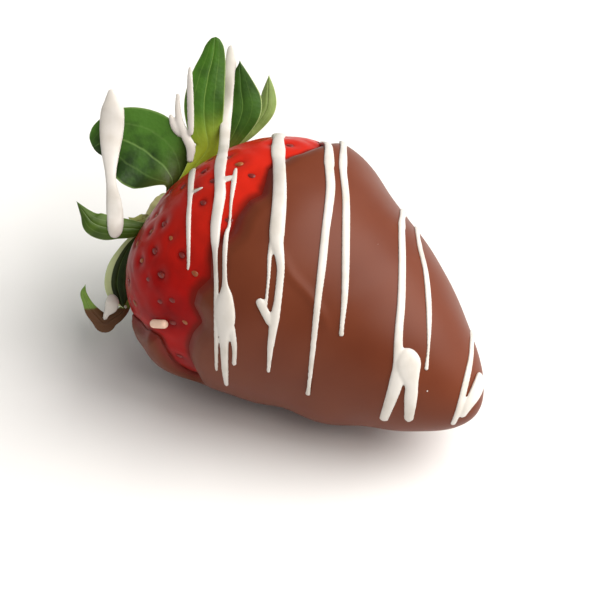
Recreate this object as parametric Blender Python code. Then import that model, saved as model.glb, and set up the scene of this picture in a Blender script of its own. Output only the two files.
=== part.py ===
"""Chocolate coated strawberry, lying on its side on a small flat spot under its coat.

Metres, +Z up. The fruit's axis runs from the stem end towards the tip along +X, a little nose down.
A place on the fruit is named by its distance along that axis and by its turn round it, where
0 degrees is the top, 90 the front (-Y), 180 the underside and 270 the back. Lengths below are in
millimetres and angles in degrees, and finish() turns the finished points into metres.
"""

import math
from collections import namedtuple

import bmesh
import bpy
import numpy as np

MM = 0.001

# How the fruit lies. AXIS_START is where its axis begins, from the middle of the part's footprint.
NOSE_DOWN = 8.5
AXIS_START = (-19.48, -2.7, 18.5)

# Half outline of the fruit (along the axis, radius), from the floor of the stem dimple to the tip.
FRUIT_OUTLINE = (
    (2.6, 0.0), (2.2, 1.7), (1.2, 4.0), (0.6, 6.6), (2.3, 10.3), (5.9, 14.4), (10.8, 16.9), (16.6, 17.3),
    (22.4, 16.8), (29.2, 14.2), (36.0, 11.6), (42.0, 8.9), (46.8, 5.6), (49.8, 2.7), (51.0, 0.0),
)
DIMPLE_RADIUS = 10.0
DIMPLE_SHIFT = 2.7
DIMPLE_POWER = 1.5
BOW = 3.8
BOW_LENGTH = 52.0
BOW_TURN = -48.5
LUMPS = ((2, 0.0072, 23.0), (3, 0.0048, -57.0), (5, 0.0032, 20.0))
LUMPS_FROM = 12.0
LUMPS_UNTIL = 20.0
# Places where the fruit stands out or sinks a little: size, along, reach, turn, spread.
SWELLS = (
    (1.3, 15.5, 5.5, -43.0, 30.0),
    (-0.5, 27.5, 6.0, -55.0, 35.0),
    (-0.7, 42.0, 8.0, -62.0, 45.0),
    (1.1, 33.0, 4.5, 140.0, 32.0),
    (-0.6, 20.0, 7.0, 136.0, 32.0),
    (-1.2, 6.8, 2.6, 117.0, 18.0),
    (0.5, 2.0, 4.0, 70.0, 20.0),
    (-0.8, 2.0, 4.0, 27.0, 24.0),
    (0.45, 8.0, 4.0, -30.0, 25.0),
)

# Chocolate coat: gap to the fruit, wall, rounded rim, and the foot that it set on.
COAT_GAP = 0.3
COAT_WALL = 1.1
RIM_LENGTH = 1.6
COAT_EDGE = 16.4
UNDER_EDGE = 4.6
UNDER_TURN = 188.0
UNDER_HALF_WIDTH = 84.0
UNDER_SOFTNESS = 11.0
UNDER_WAVE = 0.4
WAVES = ((3, 40.0, 0.48), (7, -30.0, 0.32))
FOOT_ALONG = 26.0
FOOT_TURN = 180.0
FOOT_BUILD_UP = 1.5
FOOT_REACH = 7.5
FOOT_RADIUS = 17.3

# Calyx: a turned hub in the dimple, cut off flush, then the sepals round it.
HUB_OUTLINE = (
    (1.5, 0.0), (1.2, 1.3), (0.6, 2.3), (-0.2, 2.7), (-1.0, 2.7), (-1.5, 2.3), (-1.7, 1.6), (-1.6, 0.8),
    (-1.5, 0.0),
)
SEPAL_THICKNESS = 0.55
SEPAL_FLAT_UNTIL = 0.3
SEPAL_BLUNT = 0.06
SEPAL_LEAST = 0.001
CUP_CENTRE = 0.35

# The sepals are laid out on a plane through the axis start that faces the maker: where the maker's eye
# is, and the place (right, up) that it looks at.
EYE_AZIMUTH = 32.5
EYE_ELEVATION = 41.5
EYE_DISTANCE = 600.0
EYE_AIM = (20.795, -10.123)

# Mesh steps: along and round each kind of piece.
FRUIT_STEPS = (26, 44)
COAT_STEPS = (20, 56)
HUB_STEPS = (11, 14)
SEPAL_STEPS = (16, 8)
SEPAL_FINE = 8
CLOSER_TURNS = 14.0
CLOSER_RINGS = 1.35
TABLE_STEPS = 2001

# Small differences of the outline step and of the turn, in degrees, that give the skin's slope.
STEP_DIFFERENCE = 0.001
TURN_DIFFERENCE = 0.5
NO_LENGTH = 1e-9

# knots holds (right, up, toward, half width) from root to tip. roll turns the face from the maker half
# way along, and twist is how much more it turns from root to tip. cup bends it across.
Sepal = namedtuple("Sepal", "name knots roll twist cup")
SEPALS = (
    Sepal("sepal_tall", (
        (2.3, 5.1, 0.9, 0.65), (4.0, 7.1, 0.6, 0.7), (5.9, 9.4, 0.6, 1.25), (7.4, 11.7, 1.0, 1.7),
        (7.0, 14.6, 1.5, 2.45), (6.9, 17.6, 1.9, 2.75), (7.4, 20.8, 2.2, 2.4), (8.1, 23.8, 2.3, 1.75),
        (8.5, 26.7, 2.3, 1),
    ), 0, 30, -0.12),
    Sepal("sepal_back_upper", (
        (2.2, 5.2, -1.2, 0.65), (4.3, 7.3, -2.1, 0.6), (7.0, 9.8, -1.8, 0.8), (9.9, 11.9, -1.2, 1.2),
        (11.4, 14.3, -0.7, 1.9), (12.2, 16.9, -0.3, 2.6), (12.0, 19.7, 0.0, 2.1), (11.8, 23.5, 0.2, 0.0),
    ), 0, 30, -0.14),
    Sepal("sepal_back_folded", (
        (2.8, 4.1, -2.1, 0.65), (5.0, 6.5, -2.6, 0.6), (8.0, 9.4, -2.8, 0.6), (11.0, 11.9, -2.6, 0.7),
        (13.6, 14.2, -2.2, 0.95), (15.4, 16.7, -1.8, 1.2), (15.7, 19.1, -1.6, 0.95),
        (15.8, 21.5, -1.5, 0.0),
    ), 0, 30, -0.35),
    Sepal("sepal_broad", (
        (2.0, 5.5, -0.3, 0.65), (2.6, 7.0, 0.4, 2.3), (1.3, 9.0, 0.5, 4.7), (-0.9, 10.9, 0.3, 5.5),
        (-3.2, 12.2, 0.1, 5.1), (-5.1, 12.8, -0.4, 4.1), (-6.5, 12.6, -0.9, 3.0), (-7.6, 12.0, -1.4, 2.1),
        (-8.25, 11.5, -2.0, 0.8),
    ), 0, 20, 0.12),
    Sepal("sepal_inner", (
        (-0.8, 2.4, 2.9, 0.65), (-1.1, 1.9, 2.9, 0.75), (-1.8, 1.5, 2.8, 0.8), (-2.7, 1.5, 2.7, 0.5),
        (-3.5, 2.0, 2.6, 0.0),
    ), 0, 0, 0.2),
    Sepal("sepal_front_folded", (
        (-0.5, 1.0, 2.1, 0.65), (-1.6, 0.4, 3.9, 0.9), (-3.1, 0.4, 4.8, 1.25), (-4.9, 0.5, 5.3, 1.5),
        (-6.7, 0.6, 5.6, 1.75), (-8.3, 1.2, 5.8, 1.6), (-9.4, 2.5, 5.8, 0.75), (-10.6, 4.2, 5.6, 0.0),
    ), 0, 20, -0.3),
    Sepal("sepal_shoulder", (
        (-1.2, 0.4, 0.6, 0.65), (-2.4, -0.9, 0.8, 0.8), (-3.7, -2.7, 1.0, 1.1), (-4.7, -5.0, 1.2, 1.6),
        (-5.0, -7.3, 1.2, 1.75), (-4.6, -9.1, 1.2, 1.3), (-4.2, -10.5, 1.2, 0.0),
    ), 0, 20, 0.15),
    Sepal("sepal_dipped", (
        (-0.2, -0.2, -0.6, 0.65), (-2.0, -2.8, -1.2, 0.6), (-3.0, -6.0, -1.6, 0.55), (-3.45, -8.6, -1.8, 0.55),
        (-3.9, -10.4, -1.8, 0.65), (-4.8, -11.4, -1.7, 0.85), (-5.8, -12.0, -1.6, 1.05),
        (-6.7, -12.5, -1.5, 1.35), (-7.65, -11.75, -1.3, 1.05), (-8.55, -10.75, -1.1, 0.9),
        (-9.2, -9.5, -1.0, 0.6), (-9.6, -8.4, -0.9, 0.45), (-9.35, -7.2, -0.9, 0.0),
    ), 0, 0, -0.2),
    Sepal("sepal_under", (
        (0.0, 0.5, -2.3, 0.65), (-0.6, -2.1, -4.5, 1.5), (-1.0, -4.7, -6.8, 3.9), (-1.1, -7.5, -8.8, 3.1),
        (-1.0, -10.4, -10.8, 0.0),
    ), 60, 0, -0.15),
    Sepal("sepal_back_lower", (
        (1.6, 1.3, -2.9, 0.65), (2.4, -0.4, -6.5, 1.5), (3.4, -2.1, -10.0, 3.9), (5.0, -4.1, -13.1, 3.1),
        (6.9, -6.2, -15.8, 0.0),
    ), 25, 0, -0.12),
    Sepal("sepal_back", (
        (1.8, 3.1, -3.1, 0.65), (3.0, 3.6, -6.6, 1.4), (4.5, 3.9, -10.1, 3.7), (6.4, 4.1, -13.3, 2.9),
        (8.5, 4.0, -16.4, 0.0),
    ), -35, 0, -0.15),
)

COLOURS = {
    "fruit_red": ((0.48, 0.03, 0.02), 0.25),
    "milk_chocolate": ((0.25, 0.10, 0.055), 0.3),
    "calyx_green": ((0.10, 0.19, 0.03), 0.5),
    "stalk_green": ((0.28, 0.33, 0.10), 0.6),
}

AXIS = np.array([math.cos(math.radians(NOSE_DOWN)), 0.0, -math.sin(math.radians(NOSE_DOWN))])
TOP = np.array([math.sin(math.radians(NOSE_DOWN)), 0.0, math.cos(math.radians(NOSE_DOWN))])
FRONT = np.cross(AXIS, TOP)

AZIMUTH, ELEVATION = math.radians(EYE_AZIMUTH), math.radians(EYE_ELEVATION)
BACK = np.array(
    [
        math.sin(AZIMUTH) * math.cos(ELEVATION),
        -math.cos(AZIMUTH) * math.cos(ELEVATION),
        math.sin(ELEVATION),
    ]
)
RIGHT = np.array([math.cos(AZIMUTH), math.sin(AZIMUTH), 0.0])
UP = np.cross(BACK, RIGHT)
EYE = EYE_AIM[0] * RIGHT + EYE_AIM[1] * UP + EYE_DISTANCE * BACK


def sideways(turn):
    """Unit vectors square to the axis at these turns, in degrees."""
    angle = np.radians(np.asarray(turn, float))[..., None]
    return np.cos(angle) * TOP + np.sin(angle) * FRONT


def smooth_step(x):
    """0 below 0, 1 above 1, and an S between them."""
    x = np.clip(x, 0.0, 1.0)
    return x * x * (3.0 - 2.0 * x)


def apart(turn, other):
    """How far one turn is from another, from -180 to 180."""
    return (np.asarray(turn, float) - other + 180.0) % 360.0 - 180.0


def unit(vectors):
    """Vectors scaled to a length of one."""
    return vectors / np.linalg.norm(vectors, axis=-1, keepdims=True)


def curve_through(knots, steps):
    """Points of the Catmull-Rom curve from the second knot (step 0) to the last but one (step 1)."""
    spans = len(knots) - 3
    place = np.clip(np.asarray(steps, float), 0.0, 1.0) * spans
    span = np.minimum(place.astype(int), spans - 1)
    f = (place - span)[..., None]
    a, b, c, d = (knots[span + k] for k in range(4))
    bend = (2 * a - 5 * b + 4 * c - d) * f**2 + (3 * b - 3 * c + d - a) * f**3
    return 0.5 * (2 * b + (c - a) * f + bend)


def outline_at(outline, steps):
    """Points along a curve through an outline whose ends lie on the axis."""
    knots = np.array(outline, float)
    return curve_through(np.vstack([knots[1] * (1, -1), knots, knots[-2] * (1, -1)]), steps)


def fruit_surface(step, turn):
    """The fruit's skin: its outline turned round a bowed axis, with lumps, swells and a shifted dimple."""
    along, radius = np.moveaxis(outline_at(FRUIT_OUTLINE, step), -1, 0)
    fade = np.clip(along / LUMPS_FROM, 0.0, 1.0)
    fade = fade * np.clip((BOW_LENGTH - along) / LUMPS_UNTIL, 0.0, 1.0)
    lumps = sum(size * np.cos(np.radians(waves * turn - at)) for waves, size, at in LUMPS)
    bow = BOW * np.sin(np.pi * along / BOW_LENGTH)
    in_dimple = np.clip(1.0 - radius / DIMPLE_RADIUS, 0.0, 1.0) ** DIMPLE_POWER * (along < DIMPLE_RADIUS)
    swells = sum(
        size * np.exp(-(((along - at) / reach) ** 2) - (apart(turn, mid) / spread) ** 2)
        for size, at, reach, mid, spread in SWELLS
    )
    radius = radius + swells * smooth_step(radius / DIMPLE_RADIUS)
    centre = along[..., None] * AXIS + (bow + DIMPLE_SHIFT * in_dimple)[..., None] * sideways(BOW_TURN)
    return centre + (radius * (1.0 + lumps * fade))[..., None] * sideways(turn)


def fruit_normal(step, turn):
    """Outward unit normals of fruit_surface, from its differences; at the tip it is the axis."""
    along = fruit_surface(step + STEP_DIFFERENCE, turn) - fruit_surface(step - STEP_DIFFERENCE, turn)
    round_ = fruit_surface(step, turn + TURN_DIFFERENCE) - fruit_surface(step, turn - TURN_DIFFERENCE)
    normal = np.cross(round_, along)
    length = np.linalg.norm(normal, axis=-1, keepdims=True)
    return np.where(length > NO_LENGTH, normal / np.maximum(length, NO_LENGTH), AXIS)


STEP_TABLE = np.linspace(0.0, 1.0, TABLE_STEPS)
ALONG_TABLE = outline_at(FRUIT_OUTLINE, STEP_TABLE)[:, 0]
DIMPLE_END = int(np.argmin(ALONG_TABLE))


def step_at(along):
    """The outline step of a place this far along the axis, outside the dimple."""
    return np.interp(along, ALONG_TABLE[DIMPLE_END:], STEP_TABLE[DIMPLE_END:])


def coat_edge(turn):
    """How far along the axis the coat begins: a wavy ring in front, and far up the underside."""
    wave = sum(size * np.sin(np.radians(count * turn + start)) for count, start, size in WAVES)
    off = np.abs(apart(turn, UNDER_TURN))
    under = smooth_step((UNDER_HALF_WIDTH + UNDER_SOFTNESS - off) / (2.0 * UNDER_SOFTNESS))
    return (COAT_EDGE + wave) * (1.0 - under) + (UNDER_EDGE + UNDER_WAVE * wave) * under


def coat_point(lift, step, turn):
    """A point this far off the skin."""
    return fruit_surface(step, turn) + lift[..., None] * fruit_normal(step, turn)


def coat_thickness(along, edge, turn):
    """The wall, thinned to nothing over the rounded rim and built up where the fruit was set down."""
    rim = np.sqrt(np.clip(1.0 - np.clip(1.0 - (along - edge) / RIM_LENGTH, 0.0, 1.0) ** 2, 0.0, 1.0))
    off = np.radians(apart(turn, FOOT_TURN)) * FOOT_RADIUS
    foot = np.exp(-((along - FOOT_ALONG) ** 2 + off**2) / FOOT_REACH**2)
    return COAT_WALL * rim + FOOT_BUILD_UP * foot * rim


def finish(name, bm, material):
    """One object from a bmesh in millimetres: placed, in metres, faces outward, shaded smooth."""
    for vert in bm.verts:
        vert.co = [(part + start) * MM for part, start in zip(vert.co, AXIS_START)]
    bmesh.ops.recalc_face_normals(bm, faces=bm.faces)
    mesh = bpy.data.meshes.new(name)
    bm.to_mesh(mesh)
    bm.free()
    mesh.materials.append(material)
    mesh.shade_smooth()
    obj = bpy.data.objects.new(name, mesh)
    bpy.context.collection.objects.link(obj)
    return obj


def skin(rings, first, last):
    """A closed bmesh over rings of points, with a pole point closing each end."""
    bm = bmesh.new()
    loops = [[bm.verts.new(point) for point in ring] for ring in rings]
    for near, far in zip(loops, loops[1:]):
        for k in range(len(near)):
            after = (k + 1) % len(near)
            bm.faces.new((near[k], near[after], far[after], far[k]))
    for pole, loop in ((first, loops[0]), (last, loops[-1])):
        top = bm.verts.new(pole)
        for k in range(len(loop)):
            bm.faces.new((loop[k], loop[(k + 1) % len(loop)], top))
    return bm


def make_material(name):
    """A Principled material of the named finish."""
    colour, roughness = COLOURS[name]
    material = bpy.data.materials.new(name)
    material.use_nodes = True
    shader = material.node_tree.nodes["Principled BSDF"]
    shader.inputs["Base Color"].default_value = (*colour, 1.0)
    shader.inputs["Roughness"].default_value = roughness
    shader.inputs["Metallic"].default_value = 0.0
    return material


def make_fruit(material):
    """The whole fruit, which runs on under the coat to the tip."""
    steps, turns = FRUIT_STEPS
    turn = np.arange(turns) * 360.0 / turns
    step = np.linspace(0.0, 1.0, steps)[:, None] + 0.0 * turn
    points = fruit_surface(step, turn + 0.0 * step)
    return finish("berry", skin(points[1:-1], points[0, 0], points[-1, 0]), material)


def make_coat(material):
    """The chocolate shell: out along its outer face from the tip, over the rim and back inside."""
    steps, turns = COAT_STEPS
    turn = np.arange(turns) * 360.0 / turns
    # Closer turns where the edge climbs to the underside.
    turn = turn + CLOSER_TURNS * np.sin(np.radians(2.0 * (turn - UNDER_TURN)))
    edge = coat_edge(turn)
    # Closer rings near the rim, where the wall rounds off.
    share = 1.0 - (1.0 - np.linspace(0.0, 1.0, steps)[:, None]) ** CLOSER_RINGS
    step = 1.0 + (step_at(edge) - 1.0) * share
    turn = turn + 0.0 * step
    along = outline_at(FRUIT_OUTLINE, step)[..., 0]
    wall = coat_thickness(along, edge, turn)
    outer = coat_point(COAT_GAP + wall, step, turn)
    inner = coat_point(COAT_GAP + 0.0 * wall, step, turn)
    # The foot: what would reach below the table is pressed flat on it.
    outer[..., 2] = np.maximum(outer[..., 2], -AXIS_START[2])
    rings = np.concatenate([outer[1:], inner[-2:0:-1]])
    return finish("chocolate_coat", skin(rings, outer[0, 0], inner[0, 0]), material)


def hub_centre():
    """Where the sepals meet: on the axis of the dimple."""
    return DIMPLE_SHIFT * sideways(BOW_TURN)


def make_hub(material):
    """The turned hub of the calyx and the cut stalk, in one piece."""
    steps, turns = HUB_STEPS
    turn = np.arange(turns) * 360.0 / turns
    along, radius = outline_at(HUB_OUTLINE, np.linspace(0.0, 1.0, steps)).T
    centre = hub_centre() + along[:, None] * AXIS
    points = centre[:, None, :] + radius[:, None, None] * sideways(turn)
    return finish("calyx_hub", skin(points[1:-1], points[0, 0], points[-1, 0]), material)


def sepal_frame(sepal, share):
    """Midline, sideways and face directions and half width of a sepal at each share of its length.

    The frame starts half way along, facing the maker, and is carried both ways without turning round
    the midline. Near the root it is turned so that the sepal lies flat on the crown.
    """
    knots = np.array(sepal.knots, float)
    knots = np.vstack([2.0 * knots[0] - knots[1], knots, 2.0 * knots[-1] - knots[-2]])
    path = curve_through(knots, share)
    midline = path[:, :1] * RIGHT + path[:, 1:2] * UP
    midline = midline + path[:, 2:3] * unit(EYE - midline)
    along = unit(np.gradient(midline, axis=0))
    middle = len(share) // 2
    across = np.zeros_like(midline)
    across[middle] = unit(np.cross(along[middle], EYE - midline[middle]))
    later = [(k, k - 1) for k in range(middle + 1, len(share))]
    sooner = [(k, k + 1) for k in range(middle - 1, -1, -1)]
    for now, last in later + sooner:
        across[now] = unit(across[last] - (across[last] @ along[now]) * along[now])
    face = np.cross(across, along)
    crown = np.cross(along[0], AXIS)
    flat = math.atan(crown @ face[0] / (crown @ across[0]))
    turn = np.radians(sepal.roll + sepal.twist * (share - 0.5))
    turn = (turn + (flat - turn[0]) * (1.0 - smooth_step(share / SEPAL_FLAT_UNTIL)))[:, None]
    tip = np.clip((share - 1.0 + SEPAL_BLUNT) / SEPAL_BLUNT, 0.0, 1.0)
    half = np.maximum(path[:, 3], SEPAL_LEAST) * np.sqrt(1.0 - tip**2)
    return (
        midline,
        np.cos(turn) * across + np.sin(turn) * face,
        np.cos(turn) * face - np.sin(turn) * across,
        half,
    )


def make_sepal(sepal, material):
    """One sepal: lens-shaped sections carried along its midline, bent across by its cup."""
    steps, turns = SEPAL_STEPS
    fine = np.linspace(0.0, 1.0, (steps - 1) * SEPAL_FINE + 1)
    midline, across, face, half = (values[::SEPAL_FINE] for values in sepal_frame(sepal, fine))
    half = half[1:-1, None, None]
    angle = np.arange(turns) * 2.0 * np.pi / turns
    side = np.cos(angle)[None, :, None]
    lift = np.sin(angle)[None, :, None] * SEPAL_THICKNESS / 2.0
    rings = midline[1:-1, None] + side * half * across[1:-1, None]
    rings = rings + (lift + sepal.cup * half * (side**2 - CUP_CENTRE)) * face[1:-1, None]
    return finish(sepal.name, skin(rings, midline[0], midline[-1]), material)


def main():
    """Clear the scene and make every piece."""
    for obj in list(bpy.data.objects):
        bpy.data.objects.remove(obj, do_unlink=True)
    finishes = {name: make_material(name) for name in COLOURS}
    make_fruit(finishes["fruit_red"])
    make_coat(finishes["milk_chocolate"])
    make_hub(finishes["stalk_green"])
    for sepal in SEPALS:
        make_sepal(sepal, finishes["calyx_green"])


main()
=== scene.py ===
"""Looks of a chocolate coated strawberry that lies on its side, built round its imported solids.

Lengths are in millimetres until a mesh is made, and every place is taken from where the fruit's
axis begins at its stem end. The axis runs towards the tip, a little nose down. A place on the fruit
is named by its distance along the axis and its turn round it, in degrees: 0 is the top, 90 the
front, 180 the underside and 270 the back.
"""

import logging
import math
from dataclasses import dataclass, field
from enum import Enum

import bpy
import numpy as np
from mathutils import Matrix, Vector
from mathutils.bvhtree import BVHTree


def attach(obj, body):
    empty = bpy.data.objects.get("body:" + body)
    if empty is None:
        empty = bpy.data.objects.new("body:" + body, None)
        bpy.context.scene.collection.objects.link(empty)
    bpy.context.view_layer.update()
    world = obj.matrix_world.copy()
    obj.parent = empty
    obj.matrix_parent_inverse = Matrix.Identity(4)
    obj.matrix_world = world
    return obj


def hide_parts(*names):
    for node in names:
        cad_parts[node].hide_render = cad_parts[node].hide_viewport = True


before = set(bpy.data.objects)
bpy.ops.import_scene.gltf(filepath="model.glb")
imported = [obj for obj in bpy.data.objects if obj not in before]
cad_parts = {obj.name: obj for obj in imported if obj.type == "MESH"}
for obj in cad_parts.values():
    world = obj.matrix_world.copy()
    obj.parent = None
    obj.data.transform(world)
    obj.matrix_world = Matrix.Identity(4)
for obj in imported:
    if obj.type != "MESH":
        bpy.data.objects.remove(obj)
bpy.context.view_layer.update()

LOG = logging.getLogger("strawberry")
BODY = "root"
MM = 0.001
TINY = 1e-9

Array = np.ndarray
Socket = bpy.types.NodeSocket
Settings = dict[int | str, object]


class Slot(Enum):
    """The record's material slots."""

    SKIN = "strawberry_skin"
    CHOCOLATE = "milk_chocolate"
    LEAF = "calyx_green"
    STALK = "stalk_green"
    WHITE = "white_chocolate"
    SEED = "seed_straw"


def linear(colour: str) -> tuple[float, float, float, float]:
    """Turn an sRGB hex colour into linear red, green, blue and alpha.

    Args:
        colour: the colour, as # and six hex digits.

    Returns:
        Its linear values.
    """
    parts = [int(colour[k : k + 2], 16) / 255 for k in (1, 3, 5)]
    red, green, blue = (x / 12.92 if x <= 0.04045 else ((x + 0.055) / 1.055) ** 2.4 for x in parts)
    return (red, green, blue, 1)


def smooth_step(x: Array) -> Array:
    """Rise as an S from 0 at x = 0 to 1 at x = 1, and stay level outside."""
    x = np.clip(x, 0, 1)
    return x * x * (3 - 2 * x)


def unit(vectors: Array) -> Array:
    """Scale vectors to a length of one."""
    length = np.linalg.norm(vectors, axis=-1, keepdims=True)
    return vectors / np.maximum(length, TINY)


def curve_through(knots: Array, steps: Array) -> Array:
    """Points of the Catmull-Rom curve between the second knot (step 0) and the last but one (step 1).

    Args:
        knots: the points it bends towards, one a row, with one more at each end.
        steps: places along it, from 0 to 1.

    Returns:
        One point for each step.
    """
    spans = len(knots) - 3
    place = np.clip(np.asarray(steps, float), 0, 1) * spans
    span = np.minimum(place.astype(int), spans - 1)
    f = (place - span)[..., None]
    a, b, c, d = (knots[span + k] for k in range(4))
    bend = (2 * a - 5 * b + 4 * c - d) * f**2 + (3 * b - 3 * c + d - a) * f**3
    return 0.5 * (2 * b + (c - a) * f + bend)


def softened(values: Array, passes: int) -> Array:
    """Average each row with its neighbours this many times, with the two ends held.

    Args:
        values: the rows.
        passes: how many times.

    Returns:
        The averaged rows.
    """
    values = np.array(values, float)
    for _ in range(passes):
        values[1:-1] = 0.25 * values[:-2] + 0.5 * values[1:-1] + 0.25 * values[2:]
    return values


def reaching(knots: tuple[tuple[float, ...], ...]) -> Array:
    """Knots with one more at each end, in line with the last two."""
    rows = np.array(knots)
    return np.vstack([2 * rows[0] - rows[1], rows, 2 * rows[-1] - rows[-2]])


def mirrored(outline: tuple[tuple[float, float], ...]) -> Array:
    """Knots of a half outline with one more at each end, mirrored in the axis."""
    rows = np.array(outline)
    return np.vstack([rows[1] * (1, -1), rows, rows[-2] * (1, -1)])


def apart(turn: Array, other: float) -> Array:
    """How far turns are from another one, from -180 to 180."""
    return (turn - other + 180) % 360 - 180


def run_along(points: Array) -> Array:
    """How far along a line of points each of them is."""
    return np.concatenate([[0], np.cumsum(np.linalg.norm(np.diff(points, axis=0), axis=1))])


def way_to(azimuth: float, elevation: float) -> Array:
    """The unit vector towards a place at this azimuth, from the front (-Y) round to +X, and elevation."""
    a, e = math.radians(azimuth), math.radians(elevation)
    return np.array([math.sin(a) * math.cos(e), -math.cos(a) * math.cos(e), math.sin(e)])


def put(name: str, data: bpy.types.ID) -> bpy.types.Object:
    """Put a new object with this mesh, lamp or camera in the scene.

    Args:
        name: the object's name.
        data: its mesh, lamp or camera.

    Returns:
        The object.
    """
    made = bpy.data.objects.new(name, data)
    bpy.context.scene.collection.objects.link(made)
    return made


@dataclass(frozen=True)
class Lie:
    """How the fruit lies: its nose down by an angle, its axis begun at a place above the foot plane."""

    nose_down: float = 8.5
    start: tuple[float, float, float] = (-19.48, -2.7, 18.5)

    @property
    def axis(self) -> Array:
        """The way from the stem end to the tip."""
        angle = math.radians(self.nose_down)
        return np.array([math.cos(angle), 0, -math.sin(angle)])

    @property
    def top(self) -> Array:
        """The way up, square to the axis."""
        angle = math.radians(self.nose_down)
        return np.array([math.sin(angle), 0, math.cos(angle)])

    @property
    def front(self) -> Array:
        """The way to the front, square to both."""
        return np.cross(self.axis, self.top)

    def sideways(self, turn: Array) -> Array:
        """Unit vectors square to the axis at these turns."""
        angle = np.radians(np.asarray(turn, float))[..., None]
        return np.cos(angle) * self.top + np.sin(angle) * self.front

    def metres(self, points: Array) -> Array:
        """Places from the axis start, moved to the part's own frame and turned into metres."""
        return (points + np.array(self.start)) * MM


@dataclass(frozen=True)
class Outlook:
    """Where the maker stands: the side from which the camera looks and the strands are laid out."""

    azimuth: float = 32.5
    elevation: float = 41.5
    distance: float = 600
    aim: tuple[float, float] = (20.795, -10.123)
    span: float = 83.7

    @property
    def back(self) -> Array:
        """The way from the fruit to the eye."""
        return way_to(self.azimuth, self.elevation)

    @property
    def right(self) -> Array:
        """The way to the right, level."""
        a = math.radians(self.azimuth)
        return np.array([math.cos(a), math.sin(a), 0])

    @property
    def up(self) -> Array:
        """The way up, square to the other two."""
        return np.cross(self.back, self.right)

    @property
    def eye(self) -> Array:
        """Where the eye is: straight off the aim, on the plane through the axis start that faces it."""
        return self.aim[0] * self.right + self.aim[1] * self.up + self.distance * self.back

    def rays(self, places: Array) -> Array:
        """Unit vectors from the eye through places (right, up) on that plane."""
        return unit(places[:, :1] * self.right + places[:, 1:2] * self.up - self.eye)

    def laid(self, places: Array) -> Array:
        """Points that show at places (right, up, toward): on that plane, then moved toward the eye."""
        points = places[:, :1] * self.right + places[:, 1:2] * self.up
        return points - places[:, 2:3] * self.rays(places)


@dataclass
class Surface:
    """A closed skin: its points, four-sided and three-sided faces, and numbers marked on its points."""

    points: Array
    quads: Array
    fans: Array
    marks: dict[str, Array] = field(default_factory=dict)

    @staticmethod
    def closed(grid: Array, marks: dict[str, Array] | None = None) -> "Surface":
        """Close a grid of points whose rows are rings and whose first and last rows are single points.

        Args:
            grid: points as (rows, columns, 3), each row going once round.
            marks: numbers as (rows, columns), by name.

        Returns:
            The skin, with its faces outward.
        """
        rows, columns = grid.shape[0] - 2, grid.shape[1]
        near = np.arange(rows * columns).reshape(rows, columns)
        after = np.roll(near, -1, axis=1)
        quads = np.stack([near[:-1], after[:-1], after[1:], near[1:]], axis=-1).reshape(-1, 4)
        first = np.full(columns, rows * columns)
        head = np.stack([after[0], near[0], first], axis=-1)
        tail = np.stack([near[-1], after[-1], first + 1], axis=-1)

        def flat(values: Array) -> Array:
            """Put a grid of values in the order of the points."""
            inner = values[1:-1].reshape(rows * columns, *values.shape[2:])
            return np.concatenate([inner, values[:1, 0], values[-1:, 0]])

        made = Surface(flat(grid), quads, np.concatenate([head, tail]))
        made.marks = {name: flat(values) for name, values in (marks or {}).items()}
        if made.volume() < 0:
            made.quads, made.fans = made.quads[:, ::-1], made.fans[:, ::-1]
        return made

    @staticmethod
    def joined(parts: list["Surface"]) -> "Surface":
        """Put several skins in one, each still closed by itself, with the marks that all of them have.

        Args:
            parts: the skins.

        Returns:
            One surface that holds them all.
        """
        starts = np.cumsum([0] + [len(part.points) for part in parts])
        names = [name for name in parts[0].marks if all(name in part.marks for part in parts)]
        return Surface(
            np.concatenate([part.points for part in parts]),
            np.concatenate([part.quads + start for part, start in zip(parts, starts)]),
            np.concatenate([part.fans + start for part, start in zip(parts, starts)]),
            {name: np.concatenate([part.marks[name] for part in parts]) for name in names},
        )

    def volume(self) -> float:
        """Six times the volume inside: the sum over triangles of a . (b x c).

        Returns:
            The sum, below zero where the faces look inward.
        """
        corners = np.concatenate([self.quads[:, :3], self.quads[:, [0, 2, 3]], self.fans])
        a, b, c = (self.points[corners[:, k]] for k in range(3))
        return float(np.einsum("ij,ij->", a, np.cross(b, c)))

    def mesh(self, name: str, points: Array) -> bpy.types.Mesh:
        """Make Blender's mesh of this skin, with its points at the places given.

        Args:
            name: the mesh's name.
            points: where its points go, in metres.

        Returns:
            The mesh, with the marks as attributes.
        """
        mesh = bpy.data.meshes.new(name)
        corners = np.concatenate([self.quads.ravel(), self.fans.ravel()])
        fan_starts = 4 * len(self.quads) + 3 * np.arange(len(self.fans))
        starts = np.concatenate([4 * np.arange(len(self.quads)), fan_starts])
        mesh.vertices.add(len(points))
        mesh.vertices.foreach_set("co", points.astype(np.float32).ravel())
        mesh.loops.add(len(corners))
        mesh.loops.foreach_set("vertex_index", corners.astype(np.int32))
        mesh.polygons.add(len(starts))
        mesh.polygons.foreach_set("loop_start", starts.astype(np.int32))
        mesh.update(calc_edges=True)
        for key, values in self.marks.items():
            layer = mesh.attributes.new(key, "FLOAT", "POINT")
            layer.data.foreach_set("value", values.astype(np.float32))
        return mesh


def place_piece(
    name: str, mesh: bpy.types.Mesh, material: bpy.types.Material, nodes: tuple[str, ...] = ()
) -> bpy.types.Object:
    """Put a mesh in the scene as a piece of the object.

    Args:
        name: the piece's name.
        mesh: its mesh, in the part's frame.
        material: its finish.
        nodes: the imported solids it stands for.

    Returns:
        The piece.
    """
    mesh.materials.clear()
    mesh.materials.append(material)
    mesh.shade_smooth()
    piece = put(name, mesh)
    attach(piece, BODY)
    if nodes:
        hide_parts(*nodes)
    LOG.info("%s: %d faces", name, len(mesh.polygons))
    return piece


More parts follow.
